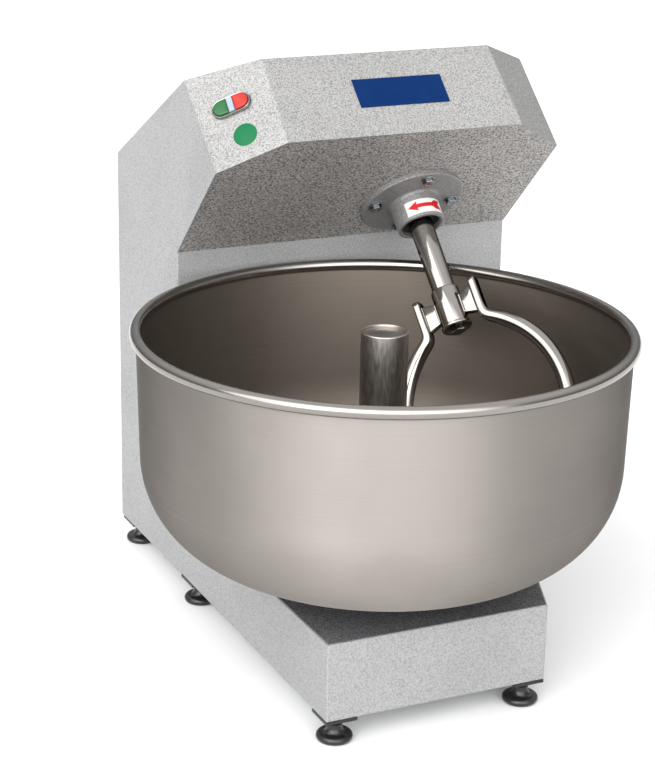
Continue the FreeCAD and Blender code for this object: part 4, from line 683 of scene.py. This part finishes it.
def arm_mesh(side):
    """A round bar whose upper end is forged into a flat strap and whose lower end is a ball."""
    path = [Vector((x, 0, z)) for x, z in arm_path()]
    rings = []
    total = len(path)
    for index, spot in enumerate(path):
        ahead = (path[min(index + 1, total - 1)] - path[max(index - 1, 0)]).normalized()
        across = Vector((-ahead.z, 0, ahead.x))
        share = smooth(-spot.z, 205 * MM, 262 * MM)
        thick = STRAP_THICK + (ARM_RADIUS - STRAP_THICK) * share
        wide = STRAP_WIDE + (ARM_RADIUS - STRAP_WIDE) * share
        power = STRAP_POWER + (1 - STRAP_POWER) * share
        rings.append(bar_ring(spot, across, thick, wide, power))
    top, tip = path[0], path[-1]
    ahead = (path[-1] - path[-2]).normalized()
    across = Vector((-ahead.z, 0, ahead.x))
    start = [bar_ring(top + Vector((0, 0, lift * MM)), Vector((1, 0, 0)), STRAP_THICK * size,
                      STRAP_WIDE * size, STRAP_POWER)
             for lift, size in ((2.2, 0.60), (1.9, 0.80), (1.2, 0.93))]
    ball = [bar_ring(tip + ahead * ARM_RADIUS * sin(radians(lean)), across, ARM_RADIUS * cos(radians(lean)),
                     ARM_RADIUS * cos(radians(lean)), 1.0) for lean in (15, 30, 45, 60, 74, 84)]
    turned = SPREAD if side > 0 else SPREAD @ Matrix.Rotation(pi, 4, "Z")
    return stacked(start + rings + ball, turned)


def bar_ring(spot, across, thick, wide, power, count=32):
    """One section of the bar: a rounded box when power is small, a circle when it is 1."""
    points = []
    for step in range(count):
        angle = 2 * pi * (step + 0.5) / count
        u, v = cos(angle), sin(angle)
        u = math.copysign(abs(u) ** power, u) * thick
        v = math.copysign(abs(v) ** power, v) * wide
        points.append(spot + across * u + Vector((0, v, 0)))
    return points


def web_mesh(side):
    """The gusset between the sleeve and one strap, its edges rounded."""
    outline = [(WEB_NEAR, -184), (WEB_FAR, -176), (WEB_FAR, -222), (WEB_NEAR, -214)]
    mesh = bmesh.new()
    low = [mesh.verts.new((side * x * MM, -WEB_HALF * MM, z * MM)) for x, z in outline]
    high = [mesh.verts.new((side * x * MM, WEB_HALF * MM, z * MM)) for x, z in outline]
    mesh.faces.new(low)
    mesh.faces.new(list(reversed(high)))
    for index in range(4):
        after = (index + 1) % 4
        mesh.faces.new((low[index], high[index], high[after], low[after]))
    bmesh.ops.recalc_face_normals(mesh, faces=mesh.faces)
    bmesh.ops.bevel(mesh, geom=list(mesh.edges), offset=1.4 * MM, segments=3, profile=0.5, affect="EDGES")
    bmesh.ops.transform(mesh, matrix=SPREAD, verts=mesh.verts)
    return mesh


def weld_bead(points, radius):
    """A weld with overlapping ripples, laid along points in the fork's spread frame."""
    outlines = []
    fine = []
    for one, two in zip(points, points[1:]):
        one, two = Vector(one), Vector(two)
        count = max(2, int((two - one).length / (1.1 * MM)))
        fine += [one.lerp(two, step / count) for step in range(count)]
    fine.append(Vector(points[-1]))
    for index, spot in enumerate(fine):
        ahead = (fine[min(index + 1, len(fine) - 1)] - fine[max(index - 1, 0)]).normalized()
        side = ahead.cross(Vector((0.31, 0.84, 0.45))).normalized()
        other = ahead.cross(side)
        end = min(index, len(fine) - 1 - index)
        size = radius * (0.55 if end == 0 else 0.9 + 0.12 * (index % 2))
        outlines.append([spot + (side * cos(2 * pi * step / 10) + other * sin(2 * pi * step / 10)) * size
                         for step in range(10)])
    return stacked(outlines, SPREAD)


def form_fork():
    """The arms, the hub with its webs and welds, and the screw and disc that hold it on the shaft."""
    finish_piece("fork_arms_forged", joined([arm_mesh(1), arm_mesh(-1)]), POLISHED, "fork",
                 ["fork_arms"], 40)
    sleeve = [(SLEEVE_BORE, SLEEVE_LOW), (SLEEVE_RADIUS, SLEEVE_LOW), (SLEEVE_RADIUS, SLEEVE_TOP),
              (SLEEVE_BORE, SLEEVE_TOP), (SLEEVE_BORE, SLEEVE_LOW)]
    lumps = [lathe(rounded(sleeve, [1.0 * MM, 1.4 * MM, 0], 3)[:-1], SPREAD, 96, closed=True)]
    for side in (1, -1):
        lumps.append(web_mesh(side))
        for face in (1, -1):
            y = face * WEB_HALF * MM
            near, far = side * 20.6 * MM, side * 41.4 * MM
            lumps.append(weld_bead([(near, y, -184 * MM), (near, y, -214 * MM)], 2.0 * MM))
            lumps.append(weld_bead([(far, y, -178 * MM), (far, y, -220 * MM)], 2.0 * MM))
    finish_piece("fork_hub_welded", joined(lumps), POLISHED, "fork", ["fork_hub"], 40)
    disc_low = SLEEVE_LOW - DISC_THICK
    disc = [(8.6 * MM, disc_low + 1.2 * MM), (19 * MM, disc_low), (DISC_RADIUS, disc_low),
            (DISC_RADIUS, SLEEVE_LOW), (8.6 * MM, SLEEVE_LOW), (8.6 * MM, disc_low + 1.2 * MM)]
    lumps = [lathe(rounded(disc, [2 * MM, 1.6 * MM, 1.2 * MM, 0], 4)[:-1], SPREAD, 96, closed=True)]
    spot = SPREAD @ Matrix.Translation((0, 0, disc_low + 1.2 * MM)) @ Matrix.Rotation(pi, 4, "X")
    lumps.append(hex_head(spot @ Matrix.Rotation(0.3, 4, "Z"), 11.5 * MM, 8.5 * MM))
    shank = [(0, 0.5 * MM), (7.95 * MM, 0.5 * MM), (7.95 * MM, -33 * MM), (0, -34 * MM)]
    lumps.append(lathe(shank, spot, 32))
    finish_piece("fork_end_screw_and_disc", joined(lumps), POLISHED, "fork",
                 ["fork_end_bolt"])


form_fork()


# ---------------------------------------------------------------- controls on the bevel, front plate

PILL_LONG, PILL_WIDE, BEZEL_TALL = 60 * MM, 30 * MM, 7 * MM
LENS_HALF, PILL_GAP, CAP_INSET = 4.5 * MM, 0.4 * MM, 3.0 * MM
STICKER_SPOT, STICKER_RADIUS = (6.3 * MM, -52.9 * MM, 0), 18 * MM


def pill_frame():
    """Origin on the bevel under the middle of the pill, X along it, Z outwards."""
    centre = middle("control_bezel")
    lift = BEVEL_NORMAL * ((centre - bevel_point()).dot(BEVEL_NORMAL))
    turn = Matrix((BEVEL_ALONG, BEVEL_UP, BEVEL_NORMAL)).transposed().to_4x4()
    return Matrix.Translation(centre - lift) @ turn


def bevel_point():
    """The corner of the bezel's mesh that sits lowest on the bevel."""
    spots = [vert.co.copy() for vert in frame["nodes"]["control_bezel"].data.vertices]
    return min(spots, key=lambda spot: spot.dot(BEVEL_NORMAL))


def pill_outline(inset, cut_low=None, cut_high=None, count=20):
    """A stadium drawn in by inset, cut off square at one or both ends of its length."""
    radius, reach = PILL_WIDE / 2 - inset, (PILL_LONG - PILL_WIDE) / 2
    high_x = reach if cut_high is None else cut_high - inset + CAP_INSET
    low_x = -reach if cut_low is None else cut_low + inset - CAP_INSET
    if cut_high is None:
        right = [(reach + radius * cos(angle), radius * sin(angle))
                 for angle in [-pi / 2 + pi * step / count for step in range(count + 1)]]
    else:
        right = [(high_x, radius * (2 * step / count - 1)) for step in range(count + 1)]
    if cut_low is None:
        left = [(-reach + radius * cos(angle), radius * sin(angle))
                for angle in [pi / 2 + pi * step / count for step in range(count + 1)]]
    else:
        left = [(low_x, radius * (1 - 2 * step / count)) for step in range(count + 1)]
    return right + left


def cap_mesh(place, low, high, cut_low, cut_high, edge=1.6 * MM, dome=0.5 * MM):
    """A moulded cap: upright walls, a rolled edge and a slightly domed top."""
    levels = [(CAP_INSET, low), (CAP_INSET, high - edge)]
    levels += [(CAP_INSET + edge * (1 - cos(radians(lean))), high - edge + edge * sin(radians(lean)))
               for lean in (20, 40, 60, 80)]
    levels += [(CAP_INSET + edge + extra * MM, high + dome * (extra / 3.2)) for extra in (0.8, 1.6, 2.2)]
    outlines = [[(x, y, level) for x, y in pill_outline(inset, cut_low, cut_high)] for inset, level in levels]
    return stacked(outlines, place)


def form_controls():
    """The double push button: bezel, lens, both caps with their stems, and the sticker beside it."""
    place = pill_frame()
    wall = 2.6 * MM
    rim = [(0.3 * MM, 0), (0, 0.4 * MM), (0, BEZEL_TALL - 1.5 * MM), (0.35 * MM, BEZEL_TALL - 0.6 * MM),
           (1.1 * MM, BEZEL_TALL - 0.05 * MM), (1.7 * MM, BEZEL_TALL - 0.15 * MM),
           (wall - 0.2 * MM, BEZEL_TALL - 0.7 * MM), (wall, BEZEL_TALL - 1.3 * MM), (wall, 1.5 * MM)]
    outlines = [[(x, y, level) for x, y in pill_outline(inset)] for inset, level in rim]
    finish_piece("pill_bezel", stacked(outlines, place), SATIN_CHROME,
                 BODY_OF["control_bezel"], ["control_bezel"])
    lens = cap_mesh(place, 1.6 * MM, 9.0 * MM, -LENS_HALF, LENS_HALF, 1.0 * MM, 0.3 * MM)
    finish_piece("lens_cap", lens, LENS, BODY_OF["indicator_lens"], ["indicator_lens"])
    stem_x = PILL_LONG / 4 + 1 * MM
    stem_wall = [(0, -2 * MM), (3.6 * MM, -2 * MM), (4 * MM, -1.6 * MM), (4 * MM, 5.4 * MM), (0, 5.4 * MM)]
    buttons = (("start_button", "green_cap", -1, GREEN, "button_green"),
               ("stop_button", "red_cap", 1, RED, "button_red"))
    for node, name, side, paint, slot_name in buttons:
        cuts = (LENS_HALF + PILL_GAP, None) if side > 0 else (None, -LENS_HALF - PILL_GAP)
        cap = cap_mesh(place, 5.0 * MM, 8.9 * MM, *cuts)
        stem = lathe(stem_wall, place @ Matrix.Translation((side * stem_x, 0, 0)), 32)
        finish_piece(name, joined([cap, stem]), paint, BODY_OF[node], [node])
    spot = place @ Matrix.Translation(STICKER_SPOT)
    disc = [(0, 0.05 * MM), (STICKER_RADIUS, 0.05 * MM), (STICKER_RADIUS, 0.25 * MM),
            (STICKER_RADIUS - 0.15 * MM, 0.35 * MM), (0, 0.35 * MM)]
    finish_piece("round_green_sticker", lathe(disc, spot, 64), STICKER_GREEN, "frame")


form_controls()
soften("front_plate", 0.45 * MM)
soften("contact_block", 0.8 * MM)


# ---------------------------------------------------------------- feet

def form_feet():
    """Levelling feet: moulded pads with a rolled edge, threaded studs and two nuts on each."""
    pads, studs = [], []
    for low, high in islands("foot_pads"):
        spot = Matrix.Translation(((low.x + high.x) / 2, (low.y + high.y) / 2, 0))
        bottom = [(0, 0.8 * MM), (17 * MM, 0.8 * MM), (18.5 * MM, 0)]
        edge = arc((20 * MM, 6 * MM), 6 * MM, -82, 82, 12)
        saucer = [(17.5 * MM, 11.4 * MM), (15.5 * MM, 12.2 * MM), (13.2 * MM, 14.6 * MM),
                  (11.8 * MM, 18 * MM)]
        neck = [(11.2 * MM, 21 * MM), (11 * MM, 25.6 * MM), (10.2 * MM, 26.5 * MM), (6.2 * MM, 26.5 * MM),
                (6.1 * MM, 8 * MM), (0, 8 * MM)]
        pads.append(lathe(bottom + edge + saucer + neck, spot, 64))
        thread = []
        for turn in range(26):
            level = (8.4 + 1.95 * turn) * MM
            thread += [(5.4 * MM, level), (5.95 * MM, level + 0.8 * MM)]
        studs.append(lathe([(0, 8.1 * MM)] + thread + [(5 * MM, 59.8 * MM), (0, 59.8 * MM)], spot, 24))
    for low, high in islands("foot_studs"):
        spot = Vector(((low.x + high.x) / 2, (low.y + high.y) / 2, 0))
        for level in (28.2 * MM, 46.2 * MM):
            place = Matrix.Translation(spot + Vector((0, 0, level)))
            studs.append(hex_head(place, 10.4 * MM, 6.6 * MM, False))
    finish_piece("levelling_pads", joined(pads), BLACK_PLASTIC, BODY_OF["foot_pads"],
                 ["foot_pads"])
    finish_piece("levelling_studs", joined(studs), FINISHES[SLOTS["foot_studs"]],
                 BODY_OF["foot_studs"], ["foot_studs"])


form_feet()
soften("foot_plates", 0.8 * MM)


# ---------------------------------------------------------------- rear: louvres, screws, gland

def louvre_hood(x_low, x_high, z_low, face_y):
    """One pressed hood over a slot: a thin scoop open downwards, faded out at both ends."""
    rows, columns, out, rise, thick = 8, 24, 4.6 * MM, 9.5 * MM, 1.1 * MM
    mesh = bmesh.new()
    layers = []
    for skin in (0.0, thick):
        grid = []
        for row in range(rows + 1):
            lean = pi / 2 * row / rows
            line = []
            for column in range(columns + 1):
                share = column / columns
                fade = smooth(min(share, 1 - share), 0.0, 0.10)
                y = face_y + 0.1 * MM + (out * sin(lean) - skin) * fade
                z = z_low + rise * cos(lean) + skin * 0.4 * fade
                line.append(mesh.verts.new((x_low + (x_high - x_low) * share, max(y, face_y + 0.02 * MM), z)))
            grid.append(line)
        layers.append(grid)
    for grid in layers:
        for row in range(rows):
            for column in range(columns):
                mesh.faces.new((grid[row][column], grid[row][column + 1], grid[row + 1][column + 1],
                                grid[row + 1][column]))
    one, two = layers
    for column in range(columns):
        for row in (0, rows):
            mesh.faces.new((one[row][column], two[row][column], two[row][column + 1], one[row][column + 1]))
    for row in range(rows):
        for column in (0, columns):
            mesh.faces.new((one[row][column], one[row + 1][column], two[row + 1][column], two[row][column]))
    return mesh


def form_louvres():
    """Hoods over the rear cover's slots, found from the slots' own edges."""
    low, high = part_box("rear_cover")
    cover = high.y
    corners = [vert.co for vert in frame["nodes"]["rear_cover"].data.vertices if vert.co.y > cover - 0.1 * MM]
    columns = sorted({round(spot.x, 4) for spot in corners if low.x + 60 * MM < spot.x < high.x - 60 * MM})
    sides = [(one, two) for one, two in zip(columns, columns[1:]) if two - one > 100 * MM]
    edges = {edge for side in sides for edge in side}
    levels = sorted({round(spot.z, 4) for spot in corners if any(abs(spot.x - edge) < MM for edge in edges)})
    floors = [one for one, two in zip(levels, levels[1:]) if abs(two - one - 5 * MM) < 0.3 * MM]
    hoods = [louvre_hood(one + 1 * MM, two - 1 * MM, floor, cover) for one, two in sides for floor in floors]
    finish_piece("rear_louvres", joined(hoods), SILVER, BODY_OF["rear_cover"], sharp=50)


form_louvres()
for small_part, bend in (("rear_cover_screws", 0.6), ("bottom_tray_screws", 0.5), ("cable_gland", 0.8),
                         ("gearbox_cover_bolts", 0.5), ("motor_bolts", 0.5), ("contactor_box", 0.6),
                         ("contactor", 1.0)):
    soften(small_part, bend * MM)


# ---------------------------------------------------------------- studio

CAMERA_SPOT = (-1.3068, -2.6965, 1.4070)
CAMERA_YAW, CAMERA_DOWN, CAMERA_ROLL = radians(25.23), radians(18.60), radians(1.06)
CAMERA_LENS = 99.47

# Each part of the sky: its direction, then where it starts and ends (as a cosine) and how bright it is there.
SKY = (((0, 0, 1), (0.0, 0.9, 0.18, 1.15)), ((-0.37, -0.90, 0.20), (0.50, 1.0, 0.0, 3.9)))
LIGHT_DIRECTION, LIGHT_STRENGTH, LIGHT_SPREAD = (-0.44, -0.17, 0.27), 2.0, radians(60)
FLOOR_RADIUS = 60


def add_camera():
    """The camera at the machine's left front, a little above its bowl."""
    data = bpy.data.cameras.new("camera")
    data.lens = CAMERA_LENS
    data.sensor_width = 36.0
    camera = bpy.data.objects.new("camera", data)
    turn = Matrix.Rotation(-CAMERA_YAW, 4, "Z") @ Matrix.Rotation(pi / 2 - CAMERA_DOWN, 4, "X")
    camera.matrix_world = Matrix.Translation(CAMERA_SPOT) @ turn @ Matrix.Rotation(CAMERA_ROLL, 4, "Z")
    bpy.context.scene.collection.objects.link(camera)
    bpy.context.scene.camera = camera


def add_world():
    """A pale studio: bright above, dim towards the horizon, with a wide bright wall in front."""
    world = bpy.data.worlds.new("studio")
    bpy.context.scene.world = world
    world.use_nodes = True
    tree = world.node_tree
    background = tree.nodes["Background"]
    spot = tree.nodes.new("ShaderNodeTexCoord").outputs["Generated"]
    total = None
    for direction, numbers in SKY:
        dot = tree.nodes.new("ShaderNodeVectorMath")
        dot.operation = "DOT_PRODUCT"
        dot.inputs[1].default_value = Vector(direction).normalized()
        tree.links.new(spot, dot.inputs[0])
        ramp = tree.nodes.new("ShaderNodeMapRange")
        ramp.interpolation_type = "SMOOTHSTEP"
        for index, number in enumerate(numbers, start=1):
            ramp.inputs[index].default_value = number
        tree.links.new(dot.outputs["Value"], ramp.inputs["Value"])
        if total is None:
            total = ramp.outputs["Result"]
            continue
        added = tree.nodes.new("ShaderNodeMath")
        tree.links.new(total, added.inputs[0])
        tree.links.new(ramp.outputs["Result"], added.inputs[1])
        total = added.outputs[0]
    tree.links.new(total, background.inputs["Strength"])
    background.inputs["Color"].default_value = (1.0, 1.0, 1.0, 1.0)


def add_floor():
    """A plain pale floor with the faintest change of tone."""
    bpy.ops.mesh.primitive_circle_add(vertices=96, radius=FLOOR_RADIUS, fill_type="NGON", location=(0, 4, 0))
    floor = bpy.context.object
    floor.name = "studio_floor"
    paint = Paint("studio_floor", Roughness=0.9, Specular_IOR_Level=0.1)
    clouds = paint.ramp(paint.noise(3.0, 3.0), 0.0, 1.0, 0.3, 0.7)
    tone = paint.mix(clouds, (0.88, 0.88, 0.88), (0.86, 0.86, 0.86))
    paint.set(paint.shader, "Base Color", tone)
    floor.data.materials.append(paint.material)


def add_sun():
    """One wide sun, so that shadows on the floor are soft."""
    data = bpy.data.lights.new("soft_light", "SUN")
    data.energy = LIGHT_STRENGTH
    data.angle = LIGHT_SPREAD
    light = bpy.data.objects.new("soft_light", data)
    light.matrix_world = Vector(LIGHT_DIRECTION).to_track_quat("Z", "Y").to_matrix().to_4x4()
    bpy.context.scene.collection.objects.link(light)


add_camera()
add_world()
add_floor()
add_sun()
bpy.context.scene.view_settings.view_transform = "Standard"
